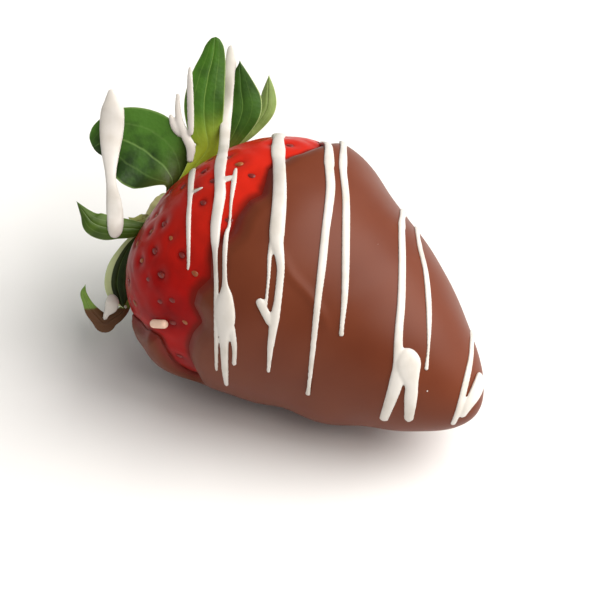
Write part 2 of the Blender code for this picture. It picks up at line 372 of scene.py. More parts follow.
@dataclass(frozen=True)
class FruitForm:
    """The fruit's skin: a half outline turned round a bowed axis, with shallow lumps and a stem dimple.

    swells holds (size, along, reach, turn, spread) of places where it stands out or sinks a little.
    """

    lie: Lie
    outline: tuple[tuple[float, float], ...] = (
        (2.6, 0), (2.2, 1.7), (1.2, 4), (0.6, 6.6), (2.3, 10.3), (5.9, 14.4), (10.8, 16.9),
        (16.6, 17.3), (22.4, 16.8), (29.2, 14.2), (36, 11.6), (42, 8.9), (46.8, 5.6), (49.8, 2.7),
        (51, 0),
    )
    dimple_radius: float = 10
    dimple_shift: float = 2.7
    dimple_power: float = 1.5
    bow: float = 3.8
    bow_length: float = 52
    bow_turn: float = -48.5
    lumps: tuple[tuple[int, float, float], ...] = ((2, 0.0072, 23), (3, 0.0048, -57), (5, 0.0032, 20))
    lumps_from: float = 12
    lumps_until: float = 20
    swells: tuple[tuple[float, float, float, float, float], ...] = (
        (1.3, 15.5, 5.5, -43, 30), (-0.5, 27.5, 6, -55, 35), (-0.7, 42, 8, -62, 45),
        (1.1, 33, 4.5, 140, 32), (-0.6, 20, 7, 136, 32), (-1.2, 6.8, 2.6, 117, 18), (0.5, 2, 4, 70, 20),
        (-0.8, 2, 4, 27, 24), (0.45, 8, 4, -30, 25),
    )
    table_steps: int = 2001
    differences: tuple[float, float] = (0.001, 0.5)

    def outline_at(self, step: Array) -> tuple[Array, Array]:
        """Distance along the axis and radius at steps of the outline, 0 in the dimple and 1 at the tip."""
        place = curve_through(mirrored(self.outline), step)
        return place[..., 0], place[..., 1]

    def shift(self, along: Array, radius: Array) -> Array:
        """How far the centre of a ring is moved off the axis: bow . sin(pi . along / length) + dimple.

        Args:
            along: distances along the axis.
            radius: the radius of the ring at each.

        Returns:
            The shift of each ring.
        """
        inside = np.clip(1 - radius / self.dimple_radius, 0, 1) ** self.dimple_power
        inside = inside * (along < self.dimple_radius)
        return self.bow * np.sin(np.pi * along / self.bow_length) + self.dimple_shift * inside

    def tapered(self, along: Array) -> Array:
        """1 along the body of the fruit, falling to 0 at its tip."""
        return np.clip((self.bow_length - along) / self.lumps_until, 0, 1)

    def skin(self, step: Array, turn: Array) -> Array:
        """Points of the skin: along . axis + shift . bow side + radius . (1 + lumps) . sideways(turn).

        Args:
            step: steps of the outline.
            turn: turns round the axis.

        Returns:
            One point for each.
        """
        along, radius = self.outline_at(step)
        fade = np.clip(along / self.lumps_from, 0, 1) * self.tapered(along)
        lumps = sum(size * np.cos(np.radians(waves * turn - at)) for waves, size, at in self.lumps)
        radius = radius + smooth_step(radius / self.dimple_radius) * sum(
            size * np.exp(-(((along - at) / reach) ** 2) - apart(turn, mid) ** 2 / spread**2)
            for size, at, reach, mid, spread in self.swells
        )
        centre = along[..., None] * self.lie.axis
        centre = centre + self.shift(along, radius)[..., None] * self.lie.sideways(self.bow_turn)
        return centre + (radius * (1 + lumps * fade))[..., None] * self.lie.sideways(turn)

    def normal(self, step: Array, turn: Array) -> Array:
        """Outward unit normals: the cross of the skin's differences round it and along it.

        Args:
            step: steps of the outline.
            turn: turns round the axis.

        Returns:
            One unit vector for each.
        """
        small, small_turn = self.differences
        along = self.skin(step + small, turn) - self.skin(step - small, turn)
        around = self.skin(step, turn + small_turn) - self.skin(step, turn - small_turn)
        across = np.cross(around, along)
        length = np.linalg.norm(across, axis=-1, keepdims=True)
        return np.where(length > TINY, across / np.maximum(length, TINY), self.lie.axis)

    def step_at(self, along: Array) -> Array:
        """The outline step of a place this far along the axis, outside the dimple.

        Args:
            along: distances along the axis.

        Returns:
            The step of each.
        """
        steps = np.linspace(0, 1, self.table_steps)
        table = self.outline_at(steps)[0]
        low = int(np.argmin(table))
        return np.interp(along, table[low:], steps[low:])

    def place_of(self, point: Array) -> tuple[float, float]:
        """Distance along the axis and turn of a point outside the dimple.

        Args:
            point: a point of the skin, from the axis start.

        Returns:
            The distance and the turn.
        """
        along = float(point @ self.lie.axis)
        radius = self.outline_at(self.step_at(np.array(along)))[1]
        off = point - float(self.shift(np.array(along), radius)) * self.lie.sideways(self.bow_turn)
        return along, math.degrees(math.atan2(off @ self.lie.front, off @ self.lie.top))


@dataclass
class Coat:
    """The chocolate shell: an even wall off the skin, feathered out at its edge and flat at its foot.

    edge_knots holds (turn, along) of its edge. Near tongue_turn the columns of points lean over, because
    bare skin runs under the edge there in a tongue. fold_knots holds (along, turn) of a low fold.
    """

    form: FruitForm
    gap: float = 0.3
    wall: float = 1.1
    edge_knots: tuple[tuple[float, float], ...] = (
        (-70, 15.6), (-48, 17), (-26.5, 16.9), (-16.5, 16.3), (-12, 15.6), (-5.5, 15.2), (0.5, 14.7),
        (7.5, 15.6), (14, 16.3), (18.5, 15.4), (27, 15.2), (34, 15.6), (39.5, 14.9), (43.5, 14.2),
        (51, 15.1), (57.5, 16), (65, 15), (71, 15.2), (75.5, 17.1), (79.3, 16.1), (82.8, 15.7),
        (84.8, 15.8), (88.3, 16.4), (91.5, 16.2), (94, 15.8), (94.9, 14.2), (95.6, 13.6), (96.8, 12.9),
        (97.8, 12.4), (98.4, 11.7), (98.8, 9.6), (114.5, 5.8), (117, 4.2), (150, 5), (180, 4.5),
        (215, 5), (252, 4.6), (266, 8), (276, 13.5),
    )
    edge_step: float = 0.25
    edge_softness: int = 5
    tongue: float = 45
    tongue_turn: float = 98
    tongue_widths: tuple[float, float] = (14, 60)
    tongue_from: float = 11
    tongue_length: float = 4.6
    thin_rim: float = 0.12
    thin_reach: float = 2.4
    thin_least: float = 0.3
    rim_length: float = 1.7
    feather: float = 1.7
    feather_turn: float = 45
    feather_spread: float = 62
    bedded: float = 0.1
    bedded_reach: float = 1.3
    foot_along: float = 26
    foot_turn: float = 180
    foot_build_up: float = 1.5
    foot_reach: float = 7.5
    foot_radius: float = 17.3
    fold_knots: tuple[tuple[float, float], ...] = (
        (22.6, 33.5), (23.8, 37.5), (25.4, 41.5), (28, 45), (29.8, 48), (31.6, 53), (32.4, 57),
    )
    fold_steps: int = 60
    fold_height: float = 0.2
    fold_width: float = 0.65
    fold_fade: float = 0.7
    rows: int = 150
    columns: int = 440
    inner_rows: int = 10
    row_power: float = 1.35
    waves: tuple[tuple[float, float, float, float], ...] = (
        (0.07, 15, 2, 20), (0.05, 9, 3, 110), (0.03, 6.5, 5, 250),
    )

    def edge(self, column: Array) -> Array:
        """How far along the axis the coat begins: its knots joined by straight lines, softened a little.

        Args:
            column: turns at which columns of points start.

        Returns:
            The distance of each.
        """
        columns, alongs = np.array(self.edge_knots).T
        around = np.arange(0, 360, self.edge_step)
        table = np.interp(around, columns % 360, alongs, period=360)
        for _ in range(self.edge_softness):
            table = 0.25 * np.roll(table, 1) + 0.5 * table + 0.25 * np.roll(table, -1)
        return np.interp(column, around, table, period=360)

    def turn_at(self, column: Array, along: Array) -> Array:
        """The turn of a column of points: column + tongue . exp(-(off / width)^2) . step along it.

        Args:
            column: turns at which columns of points start.
            along: distances along the axis.

        Returns:
            The turn of each.
        """
        off = apart(column, self.tongue_turn)
        near = np.exp(-((off / np.where(off < 0, *self.tongue_widths)) ** 2))
        return column + self.tongue * near * smooth_step((along - self.tongue_from) / self.tongue_length)

    def even_columns(self) -> Array:
        """Columns that stand at even distances along the edge.

        Returns:
            The turns at which the columns of points start.
        """
        column = np.arange(0, 360 + 0.5 * self.edge_step, self.edge_step)
        along = self.edge(column)
        run = run_along(self.form.skin(self.form.step_at(along), self.turn_at(column, along)))
        return np.interp(np.linspace(0, run[-1], self.columns, endpoint=False), run, column)

    def from_edge(self, points: Array) -> Array:
        """Signed distance from each point to the coat's edge, above zero on the coat's side.

        Args:
            points: places, from the axis start.

        Returns:
            One distance for each.
        """
        column = self.even_columns()
        along = self.edge(column)
        step, turn = self.form.step_at(along), self.turn_at(column, along)
        line = self.form.skin(step, turn)
        ahead = unit(np.roll(line, -1, axis=0) - np.roll(line, 1, axis=0))
        inward = np.cross(self.form.normal(step, turn), ahead)
        flat = points.reshape(-1, 3)
        nearest = np.full(len(flat), np.inf)
        side = np.zeros(len(flat))
        for middle, way in zip(line, inward):
            off = flat - middle
            squared = np.einsum("ij,ij->i", off, off)
            side = np.where(squared < nearest, off @ way, side)
            nearest = np.minimum(nearest, squared)
        return (np.sqrt(nearest) * np.sign(side)).reshape(points.shape[:-1])

    def feathered(self, turn: Array) -> Array:
        """How softly the coat runs out at each turn: 1 in front and 0 elsewhere."""
        return np.exp(-((apart(turn, self.feather_turn) / self.feather_spread) ** 2))

    def relief(self, along: Array, turn: Array) -> Array:
        """Faint pouring waves: a sum of size . sin(2 pi . along / length + count . turn + start).

        Args:
            along: distances along the axis.
            turn: turns round it.

        Returns:
            The height of the waves at each.
        """
        angle = np.radians(turn)
        return sum(
            size * np.sin(2 * np.pi * along / length + count * angle + math.radians(start))
            for size, length, count, start in self.waves
        )

    def fold(self, points: Array) -> Array:
        """A low fold of chocolate: height . exp(-(d / width)^2) at distance d from its line.

        Args:
            points: places on the skin.

        Returns:
            The height of the fold at each.
        """
        share = np.linspace(0, 1, self.fold_steps)
        along, turn = curve_through(reaching(self.fold_knots), share).T
        line = self.form.skin(self.form.step_at(along), turn)
        ridge = np.zeros(points.shape[:-1])
        for middle, size in zip(line, np.sin(np.pi * share) ** self.fold_fade):
            squared = np.sum((points - middle) ** 2, axis=-1)
            ridge = np.maximum(ridge, size * np.exp(-squared / self.fold_width**2))
        return self.fold_height * ridge

    def surface(self) -> Surface:
        """The shell: out along its outer face from the tip, over the rim and back inside.

        Returns:
            The closed shell, marked with how thin it is.
        """
        column = self.even_columns()
        down = 1 - (1 - np.linspace(0, 1, self.rows)[:, None]) ** self.row_power
        step = 1 + (self.form.step_at(self.edge(column)) - 1) * down
        along = self.form.outline_at(step)[0]
        turn = self.turn_at(column + 0 * step, along)
        skin, normal = self.form.skin(step, turn), self.form.normal(step, turn)
        away = np.abs(self.from_edge(skin))
        away[-1] = 0
        feathered = self.feathered(turn)
        share = np.clip(away / (self.rim_length + self.feather * feathered), 0, 1)
        rise = (1 - feathered) * np.sqrt(1 - (1 - share) ** 2) + feathered * smooth_step(share)
        lip = smooth_step(away / self.thin_rim)
        gap = (self.gap + self.bedded) * smooth_step(away / self.bedded_reach) - self.bedded
        off = np.radians(apart(turn, self.foot_turn)) * self.foot_radius
        foot = np.exp(-((along - self.foot_along) ** 2 + off**2) / self.foot_reach**2)
        relief = self.relief(along, turn) * smooth_step(away / self.rim_length) * self.form.tapered(along)
        wall = self.thin_rim * lip + (self.wall - self.thin_rim) * rise + self.foot_build_up * foot * rise
        outer = skin + (gap + wall + relief + self.fold(skin))[..., None] * normal
        outer[..., 2] = np.maximum(outer[..., 2], -self.form.lie.start[2])
        inner_rows = np.linspace(self.rows - 1, 0, self.inner_rows).astype(int)[1:]
        inner = (skin + (gap - self.bedded * (1 - lip))[..., None] * normal)[inner_rows]
        thin = 1 - smooth_step(away / (self.thin_reach * (self.thin_least + feathered)))
        marks = {"thin": np.concatenate([thin, thin[inner_rows]])}
        return Surface.closed(np.concatenate([outer, inner]), marks)


@dataclass
class Fruit:
    """The whole fruit, with its seeds in shallow pits where the coat leaves it bare.

    beats holds how fast place, turn, pit depth, size, lean and tone change from one seed to the next.
    """

    form: FruitForm
    coat: Coat
    bare_until: float = 21
    bare_rows: int = 175
    covered_rows: int = 24
    columns: int = 420
    table_steps: int = 3001
    seed_spacing: float = 4.1
    seed_turn: float = 137.508
    seed_stray: tuple[float, float] = (0.9, 5)
    beats: tuple[float, ...] = (7.31, 4.17, 3.7, 2.4, 5.1, 7.7)
    least_radius: float = 5.2
    edge_margin: float = 0.9
    film_reach: float = 1.5
    film_least: float = 0.25
    pit_depth: float = 0.3
    pit_spread: float = 0.25
    pit_radius: float = 0.85
    swell: float = 0.1
    swell_radius: float = 1.6
    swell_ring: tuple[float, float] = (1.3, 3)
    seed_size: tuple[float, float, float] = (1.2, 0.75, 0.46)
    seed_sink: float = 0.2
    seed_spread: float = 0.12
    seed_lean: float = 0.35
    seed_point: float = 0.3
    seed_rings: int = 7
    seed_sides: int = 9

    def seed_places(self) -> tuple[Array, Array]:
        """Outline step and turn of each bare seed: even areas up the fruit, a golden angle apart round it.

        Returns:
            The steps and the turns.
        """
        steps = np.linspace(0, 1, self.table_steps)
        along, radius = self.form.outline_at(steps)
        length = np.hypot(np.diff(along), np.diff(radius))
        area = np.concatenate([[0], np.cumsum(length * 2 * np.pi * 0.5 * (radius[1:] + radius[:-1]))])
        cell = self.seed_spacing**2 * math.sqrt(0.75)
        count = int(area[-1] / cell)
        order = np.arange(count)
        stray, turn_stray = self.seed_stray
        place = order + 0.5 + stray * np.sin(self.beats[0] * order)
        step = np.interp(place / count * area[-1], area, steps)
        turn = (order * self.seed_turn + turn_stray * np.sin(self.beats[1] * order)) % 360
        radius = self.form.outline_at(step)[1]
        points = self.form.skin(step, turn)
        bare = (radius > self.least_radius) & (self.coat.from_edge(points) < -self.edge_margin)
        return step[bare], turn[bare]

    def surface(self) -> Surface:
        """The skin, lowered by depth . exp(-(d / radius)^2) at distance d from each seed.

        Returns:
            The closed skin, marked with its pits and its film of chocolate.
        """
        until = float(self.form.step_at(np.array(self.bare_until)))
        rows = np.linspace(0, until, self.bare_rows)
        rows = np.concatenate([rows, np.linspace(until, 1, self.covered_rows + 1)[1:]])
        turn = np.arange(self.columns) * 360 / self.columns
        step, turn = np.meshgrid(rows, turn, indexing="ij")
        points = self.form.skin(step, turn)
        ring, narrow = self.swell_ring
        pit, swell = np.zeros(step.shape), np.zeros(step.shape)
        for k, centre in enumerate(self.form.skin(*self.seed_places())):
            far = np.linalg.norm(points - centre, axis=-1)
            depth = 1 - self.pit_spread + self.pit_spread * math.sin(self.beats[2] * k)
            pit = np.maximum(pit, depth * np.exp(-((far / self.pit_radius) ** 2)))
            swell = np.maximum(swell, depth * np.exp(-((far / self.swell_radius - ring) ** 2) * narrow))
        relief = self.swell * swell - self.pit_depth * pit
        relief[0] = relief[0].mean()
        points = points + relief[..., None] * self.form.normal(step, turn)
        reach = self.film_reach * (self.film_least + self.coat.feathered(turn))
        film = np.clip(1 + self.coat.from_edge(points) / reach, -1, 1)
        return Surface.closed(points, {"pit": pit, "film": film})

    def seeds(self) -> Surface:
        """All the seeds: flat drops of radius sqrt(1 - u^2) . (1 + point . u), pointed to the stem end.

        Returns:
            The closed drops, each marked with its tone.
        """
        step, turn = self.seed_places()
        centre, normal = self.form.skin(step, turn), self.form.normal(step, turn)
        ahead = unit(self.form.skin(step + self.form.differences[0], turn) - centre)
        side = np.cross(normal, ahead)
        length, width, height = self.seed_size
        u = -np.cos(np.linspace(0, np.pi, self.seed_rings))[:, None]
        angle = np.arange(self.seed_sides) * 2 * np.pi / self.seed_sides
        radius = np.sqrt(np.clip(1 - u**2, 0, 1)) * (1 + self.seed_point * u)
        made = []
        for k in range(len(step)):
            size = 0.5 * (1 + self.seed_spread * math.sin(self.beats[3] * k))
            way = unit(ahead[k] + self.seed_lean * math.sin(self.beats[4] * k) * side[k])
            grid = centre[k] - self.seed_sink * normal[k] + length * size * u[..., None] * way
            grid = grid + (width * size * radius * np.cos(angle))[..., None] * np.cross(normal[k], way)
            grid = grid + (height * size * radius * np.sin(angle))[..., None] * normal[k]
            tone = np.full(grid.shape[:2], 0.5 + 0.5 * math.sin(self.beats[5] * k + 1))
            made.append(Surface.closed(grid, {"tone": tone}))
        return Surface.joined(made)


@dataclass(frozen=True)
class LeafColours:
    """The colours of one sepal: its two faces, its base, its rim and its veins."""

    face: str = "#3F6B22"
    # deep: darker green used both for random mottling and for the painted shade on one side of the sepal
    deep: str = "#2B4A17"
    base: str = "#7E9134"
    under: str = "#8DA06A"
    rim: str = "#A9B684"
    vein: str = "#8FAE66"


@dataclass(frozen=True)
class SepalShape:
    """One sepal of the calyx, laid out on the plane that faces the maker.

    knots holds (right, up, toward, half width) from its root to its tip. roll turns its face from the
    maker half way along, and twist is how much more it turns from root to tip. cup bends it across, and
    blunt is the share of its length over which the tip rounds off. It is chocolate below dipped_below,
    pale past pale_from across it, in its base colour until the shares based, and darker to one side by
    shaded.
    """

    node: str
    knots: tuple[tuple[float, float, float, float], ...]
    roll: float
    twist: float
    cup: float
    colours: LeafColours = LeafColours()
    blunt: float = 0.05
    dipped_below: float = -99
    pale_from: float = 9
    based: tuple[float, float] = (0.08, 0.42)
    # shaded darkens one side of the sepal across its width: painted shade
    shaded: float = 0


SEPALS: tuple[SepalShape, ...] = (
    SepalShape("sepal_tall", (
        (2.3, 5.1, 0.9, 0.65), (4, 7.1, 0.6, 0.7), (5.9, 9.4, 0.6, 1.25), (7.4, 11.7, 1, 1.7),
        (7, 14.6, 1.5, 2.45), (6.9, 17.6, 1.9, 2.75), (7.4, 20.8, 2.2, 2.4), (8.1, 23.8, 2.3, 1.75),
        (8.5, 26.7, 2.3, 1),
    ), 0, 30, -0.12, LeafColours("#44701C", "#2F5014", "#97A62C", "#86A05C", "#8FA560", "#8CAA52"),
        blunt=0.07, based=(0.3, 0.62), shaded=0.12),
    SepalShape("sepal_back_upper", (
        (2.2, 5.2, -1.2, 0.65), (4.3, 7.3, -2.1, 0.6), (7, 9.8, -1.8, 0.8), (9.9, 11.9, -1.2, 1.2),
        (11.4, 14.3, -0.7, 1.9), (12.2, 16.9, -0.3, 2.6), (12, 19.7, 0, 2.1), (11.8, 23.5, 0.2, 0),
    ), 0, 30, -0.14, LeafColours("#3B611A", "#284512", "#6B6226", "#7F9A58", "#A6B478", "#6F9442"),
        based=(0.3, 0.6)),
    SepalShape("sepal_back_folded", (
        (2.8, 4.1, -2.1, 0.65), (5, 6.5, -2.6, 0.6), (8, 9.4, -2.8, 0.6), (11, 11.9, -2.6, 0.7),
        (13.6, 14.2, -2.2, 0.95), (15.4, 16.7, -1.8, 1.2), (15.7, 19.1, -1.6, 0.95),
        (15.8, 21.5, -1.5, 0),
    ), 0, 30, -0.35, LeafColours("#8CA05C", "#6A8040", "#98A462", "#8DA06A", "#BEC698", "#B0BE8A")),
    SepalShape("sepal_broad", (
        (2, 5.5, -0.3, 0.65), (2.6, 7, 0.4, 2.3), (1.3, 9, 0.5, 4.7), (-0.9, 10.9, 0.3, 5.5),
        (-3.2, 12.2, 0.1, 5.1), (-5.1, 12.8, -0.4, 4.1), (-6.5, 12.6, -0.9, 3), (-7.6, 12, -1.4, 2.1),
        (-8.25, 11.5, -2, 0.8),
    ), 0, 20, 0.12, LeafColours("#456F22", "#1E360C", "#3F4514", "#5E7C3C", "#6E8C48", "#7E9E56"),
        based=(0.1, 0.34), shaded=-0.3),
    SepalShape("sepal_inner", (
        (-0.8, 2.4, 2.9, 0.65), (-1.1, 1.9, 2.9, 0.75), (-1.8, 1.5, 2.8, 0.8), (-2.7, 1.5, 2.7, 0.5),
        (-3.5, 2, 2.6, 0),
    ), 0, 0, 0.2, LeafColours("#A9AE6A", "#7A7A3A", "#B9BC86", "#B9C08E", "#C8CEA0", "#C8CEA0")),
    SepalShape("sepal_front_folded", (
        (-0.5, 1, 2.1, 0.65), (-1.6, 0.4, 3.9, 0.9), (-3.1, 0.4, 4.8, 1.25), (-4.9, 0.5, 5.3, 1.5),
        (-6.7, 0.6, 5.6, 1.75), (-8.3, 1.2, 5.8, 1.6), (-9.4, 2.5, 5.8, 0.75), (-10.6, 4.2, 5.6, 0),
    ), 0, 20, -0.3, LeafColours("#4C661C", "#2F4512", "#3E5518", "#667F44", "#8CA068", "#93A872")),
    # sepal_shoulder's face and deep greens are far darker than the other sepals': partly its own green,
    # partly painted shade under the fruit's shoulder
    SepalShape("sepal_shoulder", (
        (-1.2, 0.4, 0.6, 0.65), (-2.4, -0.9, 0.8, 0.8), (-3.7, -2.7, 1, 1.1), (-4.7, -5, 1.2, 1.6),
        (-5, -7.3, 1.2, 1.75), (-4.6, -9.1, 1.2, 1.3), (-4.2, -10.5, 1.2, 0),
    ), 0, 20, 0.15, LeafColours("#2C3D12", "#1A270A", "#3A4B18", "#B4C08C", "#B9C692", "#6A8248"),
        pale_from=0.45),
    SepalShape("sepal_dipped", (
        (-0.2, -0.2, -0.6, 0.65), (-2, -2.8, -1.2, 0.6), (-3, -6, -1.6, 0.55),
        (-3.45, -8.6, -1.8, 0.55), (-3.9, -10.4, -1.8, 0.65), (-4.8, -11.4, -1.7, 0.85),
        (-5.8, -12, -1.6, 1.05), (-6.7, -12.5, -1.5, 1.35), (-7.65, -11.75, -1.3, 1.05),
        (-8.55, -10.75, -1.1, 0.9), (-9.2, -9.5, -1, 0.6), (-9.6, -8.4, -0.9, 0.45),
        (-9.35, -7.2, -0.9, 0),
    ), 0, 0, -0.2, LeafColours("#84A24E", "#5E7E30", "#4E5F26", "#9FB579", "#BFCB9C", "#A8BC80"),
        dipped_below=-10.5),
    SepalShape("sepal_under", (
        (0, 0.5, -2.3, 0.65), (-0.6, -2.1, -4.5, 1.5), (-1, -4.7, -6.8, 3.9), (-1.1, -7.5, -8.8, 3.1),
        (-1, -10.4, -10.8, 0),
    ), 60, 0, -0.15),
    SepalShape("sepal_back_lower", (
        (1.6, 1.3, -2.9, 0.65), (2.4, -0.4, -6.5, 1.5), (3.4, -2.1, -10, 3.9), (5, -4.1, -13.1, 3.1),
        (6.9, -6.2, -15.8, 0),
    ), 25, 0, -0.12),
    SepalShape("sepal_back", (
        (1.8, 3.1, -3.1, 0.65), (3, 3.6, -6.6, 1.4), (4.5, 3.9, -10.1, 3.7), (6.4, 4.1, -13.3, 2.9),
        (8.5, 4, -16.4, 0),
    ), -35, 0, -0.15),
)


@dataclass
class Calyx:
    """The crown of sepals round a small turned hub, which carries the cut stalk."""

    form: FruitForm
    outlook: Outlook
    shapes: tuple[SepalShape, ...] = SEPALS
    hub_outline: tuple[tuple[float, float], ...] = (
        (1.5, 0), (1.2, 1.3), (0.6, 2.3), (-0.2, 2.7), (-1, 2.7), (-1.5, 2.3), (-1.7, 1.6), (-1.6, 0.8),
        (-1.5, 0),
    )
    hub_steps: tuple[int, int] = (72, 72)
    hub_ribs: tuple[int, float] = (11, 0.035)
    steps: tuple[int, int] = (110, 72)
    thickness: float = 0.36
    least_half: float = 0.02
    flat_until: float = 0.3
    cup_centre: float = 0.35
    rib_height: float = 0.10
    rib_width: float = 0.09
    wave_height: float = 0.0625
    wave_count: float = 3.2
    wave_slant: float = 0.2

    def hub(self) -> Surface:
        """The hub and stalk: its outline turned round the axis of the stem dimple, with faint ribs.

        Returns:
            The closed solid, marked with distances along it.
        """
        lie = self.form.lie
        rows, columns = self.hub_steps
        turn = np.arange(columns) * 360 / columns
        along, radius = curve_through(mirrored(self.hub_outline), np.linspace(0, 1, rows)).T
        ribs, height = self.hub_ribs
        swell = 1 + height * np.cos(np.radians(ribs * turn)) * smooth_step(radius)[:, None]
        centre = self.form.dimple_shift * lie.sideways(self.form.bow_turn) + along[:, None] * lie.axis
        grid = centre[:, None] + (radius[:, None] * swell)[..., None] * lie.sideways(turn)
        return Surface.closed(grid, {"along": along[:, None] + 0 * turn})

    def midline(self, shape: SepalShape, share: Array) -> tuple[Array, Array, Array, Array]:
        """Carry a frame along a sepal.

        The frame starts half way along, square to the midline and facing the maker, and is carried both
        ways without turning round the midline. Then it is turned by roll + twist . (share - 1/2), and
        near the root so that the sepal lies flat on the crown there.

        Args:
            shape: the sepal.
            share: even steps from 0 at its root to 1 at its tip.

        Returns:
            Points of its midline, its ways across and off its face, and its half width at each.
        """
        path = curve_through(reaching(shape.knots), share)
        points = self.outlook.laid(path[:, :3])
        along = unit(np.gradient(points, axis=0))
        middle = len(share) // 2
        across = np.zeros_like(points)
        across[middle] = unit(np.cross(along[middle], self.outlook.eye - points[middle]))
        later = [(k, k - 1) for k in range(middle + 1, len(share))]
        sooner = [(k, k + 1) for k in range(middle - 1, -1, -1)]
        for now, last in later + sooner:
            across[now] = unit(across[last] - (across[last] @ along[now]) * along[now])
        face = np.cross(across, along)
        crown = np.cross(along[0], self.form.lie.axis)
        flat = math.atan(crown @ face[0] / (crown @ across[0]))
        turn = np.radians(shape.roll + shape.twist * (share - 0.5))
        turn = (turn + (flat - turn[0]) * (1 - smooth_step(share / self.flat_until)))[:, None]
        tip = np.clip((share - 1 + shape.blunt) / shape.blunt, 0, 1)
        half = np.maximum(path[:, 3], self.least_half) * np.sqrt(1 - tip**2)
        c, s = np.cos(turn), np.sin(turn)
        return points, c * across + s * face, c * face - s * across, half

    def sepal(self, shape: SepalShape) -> Surface:
        """One sepal: lens sections carried along its midline, cupped, ribbed and waved at its rim.

        Args:
            shape: how the sepal is laid out.

        Returns:
            The closed sepal, with the marks that its finish reads.
        """
        rows, columns = self.steps
        share = np.linspace(0, 1, rows)
        middle, across, face, half = self.midline(shape, share)
        half = half[:, None, None]
        angle = np.arange(columns) * 2 * np.pi / columns
        side = np.cos(angle)[None, :, None]
        lift = np.sin(angle)[None, :, None] * self.thickness / 2
        lift = lift - self.rib_height * np.exp(-((side / self.rib_width) ** 2))
        phase = 2 * np.pi * (self.wave_count * share[:, None, None] + self.wave_slant * side)
        wave = self.wave_height * half * np.sin(phase) * side**2
        bent = lift + shape.cup * half * (side**2 - self.cup_centre) + wave
        grid = middle[:, None] + side * half * across[:, None] + bent * face[:, None]
        grid[0], grid[-1] = middle[0], middle[-1]
        flat = np.zeros((rows, columns))
        marks = {"across": flat + side[..., 0], "along": flat + share[:, None], "upper": flat + np.sin(angle)}
        marks["height"] = grid @ self.outlook.up
        return Surface.closed(grid, marks)


@dataclass(frozen=True)
class Strand:
    """A strand of white chocolate, laid out on the plane that faces the maker.

    drops holds (right, up, width) along it, from the axis start. over is the turn that it runs on to
    behind the fruit from its first drop, or None, and lean how far it leans over on the way.
    """

    name: str
    drops: tuple[tuple[float, float, float], ...]
    over: float | None = None
    lean: float = 0


